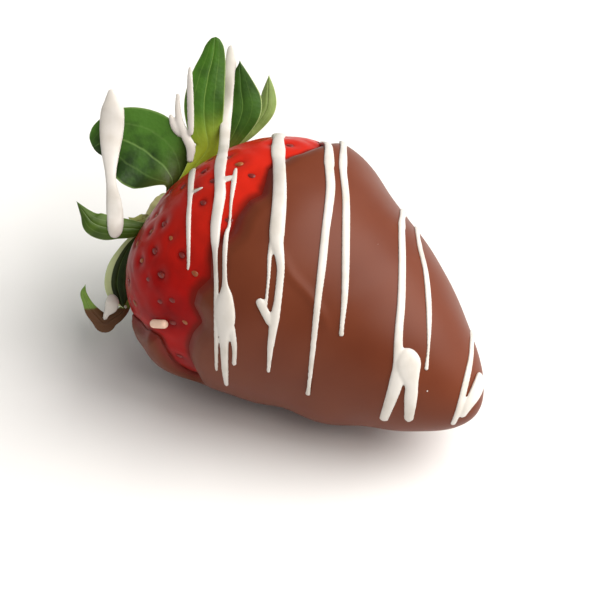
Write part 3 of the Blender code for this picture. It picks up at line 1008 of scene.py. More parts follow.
STRANDS = (
    Strand("hanging", (
        (-5.9, 19.6, 0.6), (-5.7, 18.2, 2), (-5.6, 16.6, 3.3), (-5.75, 13.9, 3.4), (-5.9, 11.2, 2.7),
        (-5.9, 8.4, 1.7), (-5.8, 6.4, 1.5), (-5.45, 4, 2.2), (-5.3, 2, 2.4), (-5.3, 0.2, 2.1),
        (-5.4, -0.9, 1.1),
    )),
    Strand("leaf_left", ((5, 22.7, 0.5), (5, 20, 1), (5.1, 15.3, 1), (5.1, 13.1, 0.7))),
    Strand("leaf_gap", (
        (3.3, 19.1, 0.5), (3.3, 16.9, 0.9), (3.6, 15, 1.1), (4.4, 13.1, 1.4), (5.1, 11.5, 1.4),
        (4.9, 9.3, 0.8),
    )),
    Strand("leaf_gap_tail", ((2.3, 16.2, 0.4), (2.5, 15.2, 0.9), (3.1, 13.9, 1.1), (4.1, 13.1, 1))),
    Strand("red_left", (
        (5.4, 8.4, 1.2), (5.2, 7.1, 1.1), (5, 4.3, 0.8), (4.8, 1.6, 0.8), (4.8, -3.6, 0.6),
        (4.7, -5.4, 0.4),
    )),
    Strand("red_left_sprig", ((5, 5.2, 0.5), (5.9, 5.6, 0.6), (6.9, 6.1, 0.4))),
    Strand("red_main", (
        (10.6, 25.6, 0.9), (10.6, 23.5, 1.6), (10.3, 19.5, 1.7), (9.9, 15.4, 1.6), (9.6, 11.5, 1.5),
        (9.2, 9.1, 1.8), (9.1, 6.9, 1.6), (9.1, 4.9, 1.6), (8.5, 0.6, 1.5), (8.5, -3.5, 1),
        (8.6, -7, 0.8), (8.6, -11, 0.8), (8.6, -15, 0.7), (8.6, -19.2, 0.5),
    )),
    Strand("red_bar", ((8.8, 7.2, 1), (9.9, 7.1, 1.1), (11, 7.5, 0.8))),
    Strand("red_thin", (
        (11.3, 8.8, 0.5), (11, 6.8, 0.8), (10.6, 3.8, 0.5), (10.4, 1, 0.5), (10, -0.3, 0.7),
        (9.8, -2.5, 0.8), (9.75, -5.3, 0.75), (9.8, -7.3, 1), (9.9, -8.8, 2), (9.8, -10.6, 2.9),
        (9.9, -12.3, 2.7), (9.7, -14.2, 1.6), (9.7, -16.4, 1.2), (9.8, -19, 1), (10, -21.2, 0.6),
    )),
    Strand("red_tail_right", ((10.3, -12.4, 1.6), (10.9, -14.6, 1), (11.1, -16.5, 0.7), (11, -18.4, 0.7))),
    Strand("edge_main", (
        (17.2, 9.6, 1.8), (17.3, 6.4, 1.9), (17.2, 3.6, 2), (16.9, 0, 2.1), (16.9, -1.6, 1.8),
        (17.3, -3.6, 1.3), (17.4, -5.5, 1.1), (17, -9.4, 1.1), (16.6, -11.8, 1.3), (16.2, -14.3, 1.1),
        (15.9, -16.9, 0.8), (15.7, -19.4, 0.5),
    ), -122),
    Strand("edge_left", (
        (16.4, -0.8, 1), (15.9, -3.3, 0.7), (15.75, -6.1, 0.55), (15.5, -8.7, 0.5), (15.3, -10.2, 0.6),
    )),
    Strand("edge_stub", ((14.3, -9.1, 1), (14.7, -9.9, 1.2), (15.4, -11.3, 1.2), (16.2, -12.9, 1.1))),
    Strand("mid_a", (
        (24, 8.8, 1.4), (24.2, 6.1, 1.4), (23.9, 3, 1.3), (23.5, -0.1, 1.2), (23.1, -4.2, 1.2),
        (22.5, -9.4, 1), (21.8, -16.2, 0.8), (21.3, -20.9, 0.6), (21.1, -22.4, 0.8),
    ), -136, 0.5),
    Strand("mid_b", (
        (25.9, 8.3, 1.2), (26.3, 4.3, 1.2), (26.3, -1.2, 1.2), (26.2, -8, 1), (25.8, -12.8, 0.7),
        (25.7, -14.4, 0.8),
    ), -104, 1),
    Strand("right_a", (
        (33.9, 0.5, 1.2), (34, -3.9, 1.2), (33.9, -9.4, 1.2), (33.6, -13.2, 1.2), (33.5, -15.6, 1.3),
        (33.6, -18.2, 1.7), (33.2, -20.6, 1.9), (32.6, -22.6, 1.7), (31.4, -25.9, 1.2),
    ), -128, 0.8),
    Strand("right_a_blob", (
        (34.3, -15.9, 1.6), (34.8, -17.6, 3.3), (34.9, -19, 3.2), (35.3, -21, 1.9), (35.2, -22.8, 1.8),
        (34.9, -26.1, 1.2),
    )),
    Strand("right_b", (
        (36.4, -2.2, 1), (37.2, -5.5, 1), (37.6, -9.4, 1), (37.7, -12.8, 0.8), (37.6, -16.2, 0.5),
        (37.3, -19.1, 0.7),
    ), -112, 0.6),
    Strand("tip_a", (
        (43.6, -13.9, 1), (43.5, -15.4, 1), (43.4, -17.2, 1), (42.9, -19.8, 1.1), (41.8, -24.2, 1),
        (40.9, -26.5, 0.8),
    ), -95),
    Strand("tip_b", (
        (44.7, -19.4, 1.5), (44.5, -20.7, 2.3), (43.9, -22.2, 2.2), (43, -23.8, 1.6),
        (42.1, -25.5, 0.9),
    )),
    Strand("dab_crook", (
        (-6.1, -8.5, 0.9), (-5.65, -9.6, 2), (-5.9, -10.5, 1.8), (-6.5, -11.3, 0.9),
        (-6.75, -12.2, 0.7),
    )),
    Strand("dab_fold", ((-4.1, -10.5, 0.5), (-3.6, -10.1, 0.6))),
    Strand("speck_low", ((37.3, -21.8, 0.5), (37.6, -21.9, 0.4))),
    Strand("speck_mid", ((30.7, -1.6, 0.3), (30.7, -1.8, 0.3))),
    Strand("speck_tip", ((40.6, -17.8, 0.25), (40.6, -18, 0.25))),
)


@dataclass
class Topping:
    """White chocolate strands draped over the finished fruit, coat and sepals, and one sugar strand.

    Behind the fruit a strand keeps a share, tail, of its width at its far end, and its width wavers by
    wobble at wobble_beat along it. The passes say how often places and ways are softened.
    """

    form: FruitForm
    outlook: Outlook
    coat: Coat
    under: Surface
    strands: tuple[Strand, ...] = STRANDS
    spacing: float = 0.3
    least_counts: tuple[int, int] = (5, 8)
    landing_passes: int = 4
    passes: tuple[int, int] = (2, 3)
    slack: int = 70
    plump: float = 0.46
    plump_power: float = 0.8
    stand: float = 0.16
    sides: int = 20
    least_width: float = 0.2
    hang_from: float = 0.4
    search: float = 30
    search_steps: int = 121
    aim_rounds: int = 12
    back_ends: tuple[float, float] = (0.5, 50.5)
    back_height: float = 3
    tail: float = 0.45
    tail_share: float = 0.8
    wobble: float = 0.12
    wobble_beat: tuple[float, float] = (0.9, 9)
    fuse: float = 0.14
    fuse_passes: int = 3
    sugar_places: tuple[tuple[float, float], tuple[float, float]] = ((-0.1, -12.35), (2.1, -12.45))
    sugar_width: float = 1.2
    sugar_stand: float = 0.45
    sugar_rings: int = 25

    def __post_init__(self) -> None:
        """Make the search tree of the surfaces that the strands land on."""
        faces = self.under.quads.tolist() + self.under.fans.tolist()
        self.tree = BVHTree.FromPolygons(self.under.points.tolist(), faces)

    def closest_reach(self, eye: Array, ray: Array) -> float:
        """How far along a ray that misses everything it passes closest to a surface.

        Args:
            eye: where the ray starts.
            ray: its unit vector.

        Returns:
            The distance from the eye.
        """
        reaches = self.outlook.distance + np.linspace(-self.search, self.search, self.search_steps)
        gaps = [self.tree.find_nearest(Vector(eye + reach * ray))[3] for reach in reaches]
        return float(reaches[int(np.argmin(gaps))])

    def landed(self, places: Array) -> tuple[Array, Array]:
        """Where places of the plane land: points and normals, bridging gaps as a strand with some slack.

        Args:
            places: (right, up) along a strand.

        Returns:
            The strand's points, and the ways its flat underside faces away from.
        """
        eye, back, rays = self.outlook.eye, self.outlook.back, self.outlook.rays(places)
        hits = [self.tree.ray_cast(Vector(eye), Vector(ray)) for ray in rays]
        found = np.array([hit[0] is not None for hit in hits])
        reach = np.array([hit[3] if hit[0] is not None else np.nan for hit in hits])
        normal = np.array([hit[1] if hit[0] is not None else back for hit in hits])
        facing = np.einsum("ij,ij->i", normal, rays) < 0
        normal = np.where(facing[:, None], normal, -normal)
        order = np.arange(len(places))
        if found.any():
            reach = np.interp(order, order[found], reach[found])
        else:
            reach = np.full(len(places), self.closest_reach(eye, rays[len(rays) // 2]))
        near = np.where(found, reach, np.inf)
        for _ in range(self.slack):
            middle = 0.5 * (reach[:-2] + reach[2:])
            reach[1:-1] = np.minimum(near[1:-1], middle)
        hanging = smooth_step((near - reach) / self.hang_from)[:, None]
        hanging = np.where(np.isfinite(near)[:, None], hanging, 1)
        normal = unit(normal * (1 - hanging) + back * hanging)
        return eye + reach[:, None] * rays, unit(softened(normal, self.landing_passes))

    def behind(self, strand: Strand, start: Array) -> tuple[Array, Array]:
        """Points and normals of the stretch over the crest and down the back, from its far end to the start.

        The stretch stays in the plane that holds the eye, its start and its second drop, and leans
        over by lean for each radian of turn.

        Args:
            strand: the strand.
            start: where its first drop landed.

        Returns:
            The points and the normals.
        """
        form = self.form
        first = self.outlook.rays(np.array(strand.drops)[:2, :2])
        right = unit(np.cross(first[1], first[0]))
        along, turn = form.place_of(start)
        length = math.radians(turn - strand.over) * self.coat.foot_radius
        count = max(int(length / self.spacing), self.least_counts[1])
        turns = np.linspace(turn, strand.over, count + 1)[1:]
        goal = start @ right + strand.lean * np.radians(turn - turns)
        alongs = np.full(count, along)
        for _ in range(self.aim_rounds):
            step = form.step_at(alongs)
            normal = form.normal(step, turns)
            points = form.skin(step, turns) + (self.coat.gap + self.coat.wall) * normal
            alongs = np.clip(alongs + (goal - points @ right) / (form.lie.axis @ right), *self.back_ends)
        above = points + self.back_height * normal
        hits = [self.tree.ray_cast(Vector(p), Vector(-n)) for p, n in zip(above, normal)]
        points = np.array([hit[0] if hit[0] is not None else p for hit, p in zip(hits, points)])
        return points[::-1], normal[::-1]

    def path(self, strand: Strand) -> tuple[Array, Array, Array]:
        """Points, normals and widths along a strand, at even spacing.

        Args:
            strand: the strand.

        Returns:
            The points, normals and widths.
        """
        knots = reaching(strand.drops)
        count = max(int(run_along(knots[1:-1, :2])[-1] / self.spacing), self.least_counts[0])
        laid = curve_through(knots, np.linspace(0, 1, count + 1))
        points, normal = self.landed(laid[:, :2])
        width = np.clip(laid[:, 2], self.least_width, None)
        if strand.over is not None:
            back_points, back_normal = self.behind(strand, points[0])
            share = np.linspace(0, 1, len(back_points))
            back_width = width[0] * (self.tail + (1 - self.tail) * smooth_step(share / self.tail_share))
            beat, start = self.wobble_beat
            phase = beat * np.arange(len(back_points)) * self.spacing + width[0] * start
            width = np.concatenate([back_width * (1 + self.wobble * np.sin(phase)), width])
            points = np.concatenate([back_points, points])
            normal = np.concatenate([back_normal, normal])
        place_passes, way_passes = self.passes
        return softened(points, place_passes), unit(softened(normal, way_passes)), width

    def tube(self, points: Array, normal: Array, width: Array, height: Array, stand: Array) -> Surface:
        """An oval section carried along a path, rounded off at both ends.

        Args:
            points: places of the path.
            normal: the way the section stands up at each.
            width: the section's width at each.
            height: its height at each.
            stand: how far its middle stands off the path.

        Returns:
            The closed skin.
        """
        ahead = unit(np.gradient(points, axis=0))
        side = unit(np.cross(ahead, normal))
        up = np.cross(side, ahead)
        run = run_along(points)
        ends = []
        for end, distance in ((0, run), (-1, run[-1] - run)):
            in_cap = 1 - np.clip(distance / (0.5 * width[end]), 0, 1)
            ends.append(np.sqrt(np.clip(1 - in_cap**2, 0, 1)))
        cap = 0.5 * np.minimum(*ends)[:, None, None]
        angle = np.arange(self.sides) * 2 * np.pi / self.sides
        across = cap * width[:, None, None] * np.cos(angle)[None, :, None] * side[:, None]
        raised = cap * height[:, None, None] * np.sin(angle)[None, :, None] * up[:, None]
        middle = (points + stand[:, None] * normal)[:, None]
        grid = middle + across + raised
        grid[0], grid[-1] = middle[0], middle[-1]
        return Surface.closed(grid)

    def drizzle(self) -> Surface:
        """Every strand as a rounded, flattened tube that is a little sunk into what it lies on.

        Returns:
            The closed tubes.
        """
        made = []
        for strand in self.strands:
            points, normal, width = self.path(strand)
            LOG.info("strand %s: %.1f mm", strand.name, run_along(points)[-1])
            height = self.plump * width**self.plump_power
            made.append(self.tube(points, normal, width, height, self.stand * height))
        return Surface.joined(made)

    def fused(self, surface: Surface) -> bpy.types.Mesh:
        """Run the strands together where they cross, as they do while warm: voxels, then smoothing.

        Args:
            surface: the tubes, from the axis start.

        Returns:
            Their mesh in the part's frame, in metres.
        """
        loose = put("loose_drizzle", surface.mesh("loose_drizzle", surface.points))
        melt = loose.modifiers.new("melt", "REMESH")
        melt.mode = "VOXEL"
        melt.voxel_size = self.fuse
        settle = loose.modifiers.new("settle", "SMOOTH")
        settle.factor = 0.5
        settle.iterations = self.fuse_passes
        graph = bpy.context.evaluated_depsgraph_get()
        mesh = bpy.data.meshes.new_from_object(loose.evaluated_get(graph))
        bpy.data.objects.remove(loose)
        points = np.empty(3 * len(mesh.vertices), np.float32)
        mesh.vertices.foreach_get("co", points)
        points = self.form.lie.metres(points.reshape(-1, 3).astype(float))
        mesh.vertices.foreach_set("co", points.astype(np.float32).ravel())
        mesh.update()
        return mesh

    def sugar(self) -> Surface:
        """One sugar strand lying on the skin: a round-ended rod.

        Returns:
            The closed rod.
        """
        ends, normal = self.landed(np.array(self.sugar_places))
        rings = self.sugar_rings
        points = ends[0] + np.linspace(0, 1, rings)[:, None] * (ends[1] - ends[0])
        ways = np.tile(unit(np.mean(normal, axis=0)), (rings, 1))
        width = np.full(rings, self.sugar_width)
        return self.tube(points, ways, width, width, np.full(rings, self.sugar_stand))


def fill(tree: bpy.types.NodeTree, node: bpy.types.Node, settings: Settings) -> None:
    """Set up a node.

    Args:
        tree: the material's nodes.
        node: the node.
        settings: by a property's name, its value; by an input's number, or its name with a capital, its
            value, its colour as hex or the socket that feeds it.
    """
    for key, value in settings.items():
        if isinstance(key, str) and key[0].islower():
            setattr(node, key, value)
        elif isinstance(value, Socket):
            tree.links.new(value, node.inputs[key])
        else:
            node.inputs[key].default_value = linear(value) if isinstance(value, str) else value


def add(tree: bpy.types.NodeTree, kind: str, settings: Settings) -> bpy.types.Node:
    """Add a node of a kind, without the word ShaderNode, with its settings.

    Args:
        tree: the material's nodes.
        kind: the node's type.
        settings: its settings, as fill takes them.

    Returns:
        The new node.
    """
    node = tree.nodes.new("ShaderNode" + kind)
    fill(tree, node, settings)
    return node


class Finish:
    """A Principled material while it is put together, from the piece's own Object coordinates and marks."""

    def __init__(self, name: str) -> None:
        """Start with an empty material.

        Args:
            name: the material's name.
        """
        self.material = bpy.data.materials.new(name)
        self.material.use_nodes = True
        self.tree = self.material.node_tree
        self.place = add(self.tree, "TexCoord", {}).outputs["Object"]

    def noise(self, size_mm: float, detail: float = 3, place: Socket | None = None) -> Socket:
        """Soft noise with lumps of about this size.

        Args:
            size_mm: the size of the lumps.
            detail: how many finer layers lie over them.
            place: where it is read, or None for the Object coordinates.

        Returns:
            The noise, from 0 to 1.
        """
        vector = self.place if place is None else place
        settings = {"Scale": 1 / MM / size_mm, "Detail": detail, "Vector": vector}
        return add(self.tree, "TexNoise", settings).outputs["Fac"]

    def mark(self, name: str) -> Socket:
        """A number marked on the piece's points."""
        return add(self.tree, "Attribute", {"attribute_name": name}).outputs["Fac"]

    def math(self, operation: str, *values: Socket | float) -> Socket:
        """One sum, of sockets and plain numbers."""
        return add(self.tree, "Math", {"operation": operation, **dict(enumerate(values))}).outputs[0]

    def ragged(self, value: Socket, noise: Socket, size: float) -> Socket:
        """A value made uneven by noise: value + size . (noise - 1/2)."""
        return self.math("ADD", value, self.math("MULTIPLY_ADD", noise, size, -size / 2))

    def ramp(
        self, value: Socket, low: float, high: float, end: float = 1, soft: bool = False, start: float = 0
    ) -> Socket:
        """Turn values from low to high into numbers from start to end, along an S where it is soft.

        Args:
            value: the number to turn.
            low: its value for start.
            high: its value for end.
            end: the number at high.
            soft: whether the way there is an S.
            start: the number at low.

        Returns:
            The turned number.
        """
        kind = "SMOOTHSTEP" if soft else "LINEAR"
        settings = {"interpolation_type": kind, 0: value, 1: low, 2: high, 3: start, 4: end}
        return add(self.tree, "MapRange", settings).outputs[0]

    def between(self, noise: Socket, ends: tuple[float, float]) -> Socket:
        """Turn noise into numbers between these ends."""
        start, end = ends
        return self.ramp(noise, 0, 1, end, start=start)

    def mix(self, share: Socket, under: Socket | str, over: Socket | str) -> Socket:
        """Lay one colour over another by a share from 0 to 1."""
        return add(self.tree, "Mix", {"data_type": "RGBA", 0: share, 6: under, 7: over}).outputs[2]

    def done(
        self,
        colour: Socket,
        roughness: Socket | float,
        height: Socket,
        bump: tuple[float, float],
        **other: float,
    ) -> bpy.types.Material:
        """Join everything to the shader.

        Args:
            colour: the base colour.
            roughness: the roughness.
            height: the relief.
            bump: how strongly the relief shows, and its depth in millimetres.
            other: values of other inputs, named with _ for each space.

        Returns:
            The material.
        """
        strength, depth = bump
        relief = add(self.tree, "Bump", {"Strength": strength, "Distance": depth * MM, "Height": height})
        settings = {"Base Color": colour, "Roughness": roughness, "Normal": relief.outputs[0]}
        settings |= {name.replace("_", " "): value for name, value in other.items()}
        fill(self.tree, self.tree.nodes["Principled BSDF"], settings)
        return self.material


@dataclass(frozen=True)
class BerrySkin:
    """Ripe strawberry skin: wet and glossy, with a painted highlight on top and painted shade in its pits."""

    ripe: str = "#A3120F"
    deep: str = "#7C0B0C"
    # light: painted highlight, a lighter red laid over the top of the lying fruit
    light: str = "#CF2A18"
    # pit: painted shade, a darker red laid into the seed pits
    pit: str = "#56080A"
    smear: str = "#63180F"
    mottle_mm: float = 5
    pore_mm: float = 0.35
    deep_patches: tuple[float, float] = (0.35, 0.65)
    painted_light_height: tuple[float, float] = (0.024, 0.037)
    painted_light_share: float = 0.85
    pit_shade_range: tuple[float, float] = (0.25, 0.95)
    pit_shade_share: float = 0.75
    smeared: tuple[float, float] = (0.25, 1)
    smear_ragged: float = 1.6
    smear_share: float = 0.85
    roughness: tuple[float, float] = (0.22, 0.42)
    relief: tuple[float, float] = (0.25, 0.04)

    def make(self) -> bpy.types.Material:
        """Build the material: its own red, then a painted top highlight, painted pit shade and the chocolate
        smear.

        Returns:
            The material.
        """
        look = Finish("ripe_strawberry_skin")
        mottle = look.noise(self.mottle_mm)
        colour = look.mix(look.ramp(mottle, *self.deep_patches), self.deep, self.ripe)
        up = add(look.tree, "SeparateXYZ", {0: look.place}).outputs["Z"]
        # painted highlight: the red turns lighter with height over the top of the fruit
        colour = look.mix(look.ramp(up, *self.painted_light_height, self.painted_light_share), colour, self.light)
        # painted shade: darker red in the seed pits, by their depth
        colour = look.mix(look.ramp(look.mark("pit"), *self.pit_shade_range, self.pit_shade_share), colour, self.pit)
        film = look.ragged(look.mark("film"), mottle, self.smear_ragged)
        film = look.ramp(film, *self.smeared, self.smear_share, soft=True)
        colour = look.mix(film, colour, self.smear)
        wet = look.between(mottle, self.roughness)
        gloss = {"IOR": 1.36, "Specular_IOR_Level": 0.08, "Coat_Weight": 0.04, "Coat_Roughness": 0.12}
        return look.done(colour, wet, look.noise(self.pore_mm, detail=2), self.relief, **gloss)


@dataclass(frozen=True)
class MilkChocolate:
    """Set milk chocolate: smooth and softly glossy, with faint cocoa mottling, redder where it is thin."""

    body: str = "#5F2914"
    warm: str = "#70361D"
    thin: str = "#74170E"
    mottle_mm: float = 9
    grain_mm: float = 0.5
    thinned: tuple[float, float] = (0.2, 1.1)
    thin_ragged: float = 1.4
    thin_share: float = 0.8
    roughness: tuple[float, float] = (0.37, 0.49)
    relief: tuple[float, float] = (0.12, 0.03)

    def make(self) -> bpy.types.Material:
        """Build the material.

        Returns:
            The material.
        """
        look = Finish("set_milk_chocolate")
        mottle = look.noise(self.mottle_mm, detail=4)
        thin = look.ragged(look.mark("thin"), mottle, self.thin_ragged)
        thin = look.ramp(thin, *self.thinned, self.thin_share, soft=True)
        colour = look.mix(thin, look.mix(mottle, self.body, self.warm), self.thin)
        gloss = look.between(mottle, self.roughness)
        grain = look.noise(self.grain_mm, detail=2)
        return look.done(colour, gloss, grain, self.relief, IOR=1.4, Specular_IOR_Level=0.3)


@dataclass(frozen=True)
class WhiteChocolate:
    """Set white chocolate: creamy and softly glossy, with a faint uneven tone."""

    body: str = "#D6D1CA"
    shade: str = "#C6BFB4"
    mottle_mm: float = 3
    shaded: tuple[float, float] = (0.4, 0.75)
    roughness: float = 0.36
    relief: tuple[float, float] = (0.15, 0.06)

    def make(self) -> bpy.types.Material:
        """Build the material.

        Returns:
            The material.
        """
        look = Finish("set_white_chocolate")
        mottle = look.noise(self.mottle_mm)
        colour = look.mix(look.ramp(mottle, *self.shaded), self.body, self.shade)
        return look.done(colour, self.roughness, mottle, self.relief, IOR=1.46)


@dataclass(frozen=True)
class Leaf:
    """Fresh sepal: waxy green, with pale lengthwise veins, a pale rim and a dull pale underside."""

    shape: SepalShape
    chocolate: str = "#5E3F26"
    veins: float = 2
    cell_mm: float = 0.5
    mottle_mm: float = 2.5
    tones: tuple[float, float] = (0.3, 0.75)
    under_blur: float = 0.12
    under_share: float = 0.8
    bend: float = 0.1
    vein_width: float = 0.09
    vein_shares: tuple[float, float] = (0.5, 0.16)
    vein_fade: float = 0.3
    rim_blur: tuple[float, float] = (0.93, 0.995)
    rim_share: float = 0.8
    pale_blur: float = 0.06
    dip_blur: float = 0.15
    dip_ragged: float = 1.2
    vein_relief: float = -1.5
    roughness: float = 0.45
    relief: tuple[float, float] = (0.3, 0.08)

    def make(self) -> bpy.types.Material:
        """Build the material: face with painted shade to one side, base, underside, veins, rim, pale band and
        dipped end, one on another.

        Returns:
            The material.
        """
        look = Finish("fresh_leaf_" + self.shape.node)
        shades, shape = self.shape.colours, self.shape
        across, along, upper, height = (look.mark(name) for name in ("across", "along", "upper", "height"))
        mottle = look.noise(self.mottle_mm)
        # darker green from random mottling plus painted shade on one side of the sepal, set by shaded
        tone = look.ramp(look.math("MULTIPLY_ADD", across, shape.shaded, mottle), *self.tones)
        colour = look.mix(tone, shades.face, shades.deep)
        first, last = shape.based
        colour = look.mix(look.ramp(along, last, first, soft=True), colour, shades.base)
        turned = look.ramp(upper, self.under_blur, -self.under_blur, self.under_share)
        colour = look.mix(turned, colour, shades.under)
        bent = look.ragged(across, mottle, self.bend)
        from_vein = look.math("PINGPONG", look.math("MULTIPLY", bent, self.veins), 0.5)
        out = look.math("ABSOLUTE", across)
        near, far = self.vein_shares
        fading = look.ramp(out, 0, self.vein_fade, far, start=near)
        vein = look.math("MULTIPLY", look.ramp(from_vein, self.vein_width, 0, soft=True), fading)
        colour = look.mix(vein, colour, shades.vein)
        colour = look.mix(look.ramp(out, *self.rim_blur, self.rim_share, soft=True), colour, shades.rim)
        pale = look.ramp(bent, shape.pale_from, shape.pale_from + self.pale_blur)
        colour = look.mix(pale, colour, shades.rim)
        level, dipped = shape.dipped_below, look.ragged(height, mottle, self.dip_ragged)
        dipped = look.ramp(dipped, level + self.dip_blur, level - self.dip_blur)
        colour = look.mix(dipped, colour, self.chocolate)
        cells = add(look.tree, "TexVoronoi", {"Scale": 1 / MM / self.cell_mm, "Vector": look.place})
        raised = look.math("MULTIPLY_ADD", vein, self.vein_relief, cells.outputs["Distance"])
        return look.done(colour, self.roughness, raised, self.relief, IOR=1.42, Specular_IOR_Level=0.3)


@dataclass(frozen=True)
class Stalk:
    """Cut stalk and hub: fibrous and pale green, browned at the cut end."""

    body: str = "#C6C18C"
    fibre: str = "#A5A262"
    cut: str = "#A08A56"
    fibre_mm: float = 0.45
    fibre_stretch: float = 0.15
    cut_from: float = -1.35
    cut_blur: float = 0.25
    roughness: float = 0.55
    relief: tuple[float, float] = (0.4, 0.1)

    def make(self) -> bpy.types.Material:
        """Build the material.

        Returns:
            The material.
        """
        look = Finish("cut_strawberry_stalk")
        stretch = add(look.tree, "Mapping", {"Scale": (self.fibre_stretch, 1, 1), "Vector": look.place})
        fibre = look.noise(self.fibre_mm, place=stretch.outputs[0])
        end = look.ramp(look.mark("along"), self.cut_from, self.cut_from - self.cut_blur)
        colour = look.mix(end, look.mix(fibre, self.body, self.fibre), self.cut)
        return look.done(colour, self.roughness, fibre, self.relief)


@dataclass(frozen=True)
class SeedHusk:
    """Strawberry seeds: dry little husks from straw to reddish brown, each its own tone."""

    straw: str = "#B0702F"
    red: str = "#74160E"
    grain_mm: float = 0.2
    straw_from: tuple[float, float] = (0.98, 1.3)
    grain_share: float = 0.3
    roughness: float = 0.45
    relief: tuple[float, float] = (0.3, 0.04)

    def make(self) -> bpy.types.Material:
        """Build the material.

        Returns:
            The material.
        """
        look = Finish("strawberry_seed_husk")
        grain = look.noise(self.grain_mm, detail=2)
        share = look.math("MULTIPLY_ADD", grain, self.grain_share, look.mark("tone"))
        colour = look.mix(look.ramp(share, *self.straw_from), self.red, self.straw)
        return look.done(colour, self.roughness, grain, self.relief)


@dataclass(frozen=True)
class SugarRod:
    """Sugar strand: a matt, cream coloured sugar rod with a fine grain."""

    body: str = "#F0D2BC"
    shade: str = "#E2B79C"
    grain_mm: float = 0.3
    roughness: float = 0.5
    relief: tuple[float, float] = (0.4, 0.04)

    def make(self) -> bpy.types.Material:
        """Build the material.

        Returns:
            The material.
        """
        look = Finish("cream_sugar_strand")
        grain = look.noise(self.grain_mm)
        return look.done(look.mix(grain, self.body, self.shade), self.roughness, grain, self.relief)


@dataclass(frozen=True)
class PaperBoard:
    """Matt paper board for the floor, with a faint uneven tone."""

    body: str = "#F4F3F1"
    grain_mm: float = 12
    darkest: float = 0.96
    roughness: float = 0.8

    def make(self) -> bpy.types.Material:
        """Build the material.

        Returns:
            The material.
        """
        look = Finish("matt_paper_board")
        tone = look.between(look.noise(self.grain_mm, detail=2), (self.darkest, 1))
        settings = {"data_type": "RGBA", "blend_type": "MULTIPLY", 0: 1, 6: self.body, 7: tone}
        colour = add(look.tree, "Mix", settings).outputs[2]
        shader = look.tree.nodes["Principled BSDF"]
        fill(look.tree, shader, {"Base Color": colour, "Roughness": self.roughness})
        return look.material


@dataclass(frozen=True)
class Lamp:
    """A soft square lamp that faces the fruit."""

    name: str
    azimuth: float
    elevation: float
    distance: float
    size: float
    power: float
    colour: str = "#FFFFFF"


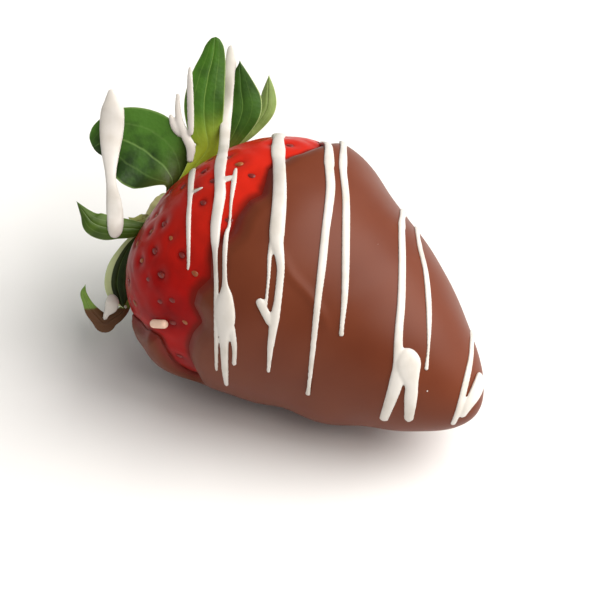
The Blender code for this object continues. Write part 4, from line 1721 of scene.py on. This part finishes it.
@dataclass
class Studio:
    """Pale floor, soft lamps, even pale surroundings and the camera."""

    lie: Lie
    outlook: Outlook
    floor_side: float = 4
    sky_colour: str = "#FFFFFF"
    sky_strength: float = 0.36
    sensor: float = 36
    clip: tuple[float, float] = (0.01, 20)
    lamps_aim: tuple[float, float, float] = (0, 0, 0.018)
    lamps: tuple[Lamp, ...] = (
        Lamp("key_lamp", 112, 50, 0.9, 0.8, 11, "#FFFCF8"),
        Lamp("front_lamp", 57, 48, 0.9, 0.3, 1.6, "#FFF9F2"),
        Lamp("rim_lamp", 138, 22, 1, 1.1, 4.2, "#FFFDFA"),
    )

    def floor(self) -> None:
        """A wide level sheet of paper board, just under the foot."""
        half = self.floor_side / 2
        mesh = bpy.data.meshes.new("floor")
        corners = [(-half, -half, 0), (half, -half, 0), (half, half, 0), (-half, half, 0)]
        mesh.from_pydata(corners, [], [(0, 1, 2, 3)])
        mesh.materials.append(PaperBoard().make())
        floor = put("floor", mesh)

    def surroundings(self) -> None:
        """Even pale light from all round."""
        world = bpy.data.worlds.new("pale_room")
        world.use_nodes = True
        shade = world.node_tree.nodes["Background"]
        fill(world.node_tree, shade, {"Color": self.sky_colour, "Strength": self.sky_strength})
        bpy.context.scene.world = world

    def light(self, lamp: Lamp) -> None:
        """Hang one lamp, facing the middle of the fruit.

        Args:
            lamp: the lamp's place, size, power and colour.
        """
        data = bpy.data.lights.new(lamp.name, "AREA")
        data.shape = "SQUARE"
        data.size = lamp.size
        data.energy = lamp.power
        data.color = linear(lamp.colour)[:3]
        way = Vector(way_to(lamp.azimuth, lamp.elevation))
        made = put(lamp.name, data)
        made.location = way * lamp.distance + Vector(self.lamps_aim)
        made.rotation_euler = way.to_track_quat("Z", "Y").to_euler()

    def camera(self) -> None:
        """The camera: a long lens from the maker's side, looking down on the fruit."""
        data = bpy.data.cameras.new("camera")
        data.sensor_width = self.sensor
        data.lens = self.sensor * self.outlook.distance / self.outlook.span
        data.clip_start, data.clip_end = self.clip
        made = put("camera", data)
        made.location = self.lie.metres(self.outlook.eye)
        made.rotation_euler = Vector(self.outlook.back).to_track_quat("Z", "Y").to_euler()
        bpy.context.scene.camera = made

    def build(self) -> None:
        """Set out the floor, surroundings, lamps and camera."""
        self.floor()
        self.surroundings()
        for lamp in self.lamps:
            self.light(lamp)
        self.camera()
        bpy.context.scene.view_settings.view_transform = "Standard"
        LOG.info("studio: %d lamps", len(self.lamps))


@dataclass
class Strawberry:
    """The finished sweet: fruit, seeds, coat, calyx and toppings."""

    lie: Lie = field(default_factory=Lie)
    outlook: Outlook = field(default_factory=Outlook)

    def piece(
        self,
        name: str,
        surface: Surface,
        material: bpy.types.Material,
        slot: Slot,
        nodes: tuple[str, ...] = (),
    ) -> None:
        """Place a surface worked out from the axis start as a piece in the part's frame."""
        place_piece(name, surface.mesh(name, self.lie.metres(surface.points)), material, nodes)

    def build(self) -> None:
        """Build and dress every piece."""
        form = FruitForm(self.lie)
        coat = Coat(form)
        fruit = Fruit(form, coat)
        calyx = Calyx(form, self.outlook)
        skin, shell = fruit.surface(), coat.surface()
        self.piece("fruit", skin, BerrySkin().make(), Slot.SKIN, ("berry",))
        self.piece("seeds", fruit.seeds(), SeedHusk().make(), Slot.SEED)
        self.piece("coat", shell, MilkChocolate().make(), Slot.CHOCOLATE, ("chocolate_coat",))
        self.piece("hub_and_stalk", calyx.hub(), Stalk().make(), Slot.STALK, ("calyx_hub",))
        leaves = [calyx.sepal(shape) for shape in calyx.shapes]
        for shape, leaf in zip(calyx.shapes, leaves):
            self.piece(shape.node + "_leaf", leaf, Leaf(shape).make(), Slot.LEAF, (shape.node,))
        topping = Topping(form, self.outlook, coat, Surface.joined([skin, shell, *leaves]))
        place_piece("white_drizzle", topping.fused(topping.drizzle()), WhiteChocolate().make())
        self.piece("sugar_strand", topping.sugar(), SugarRod().make(), Slot.WHITE)


def main() -> None:
    """Build the strawberry and its studio."""
    logging.basicConfig(level=logging.INFO, format="%(message)s")
    strawberry = Strawberry()
    strawberry.build()
    Studio(strawberry.lie, strawberry.outlook).build()


if __name__ == "__main__":
    main()
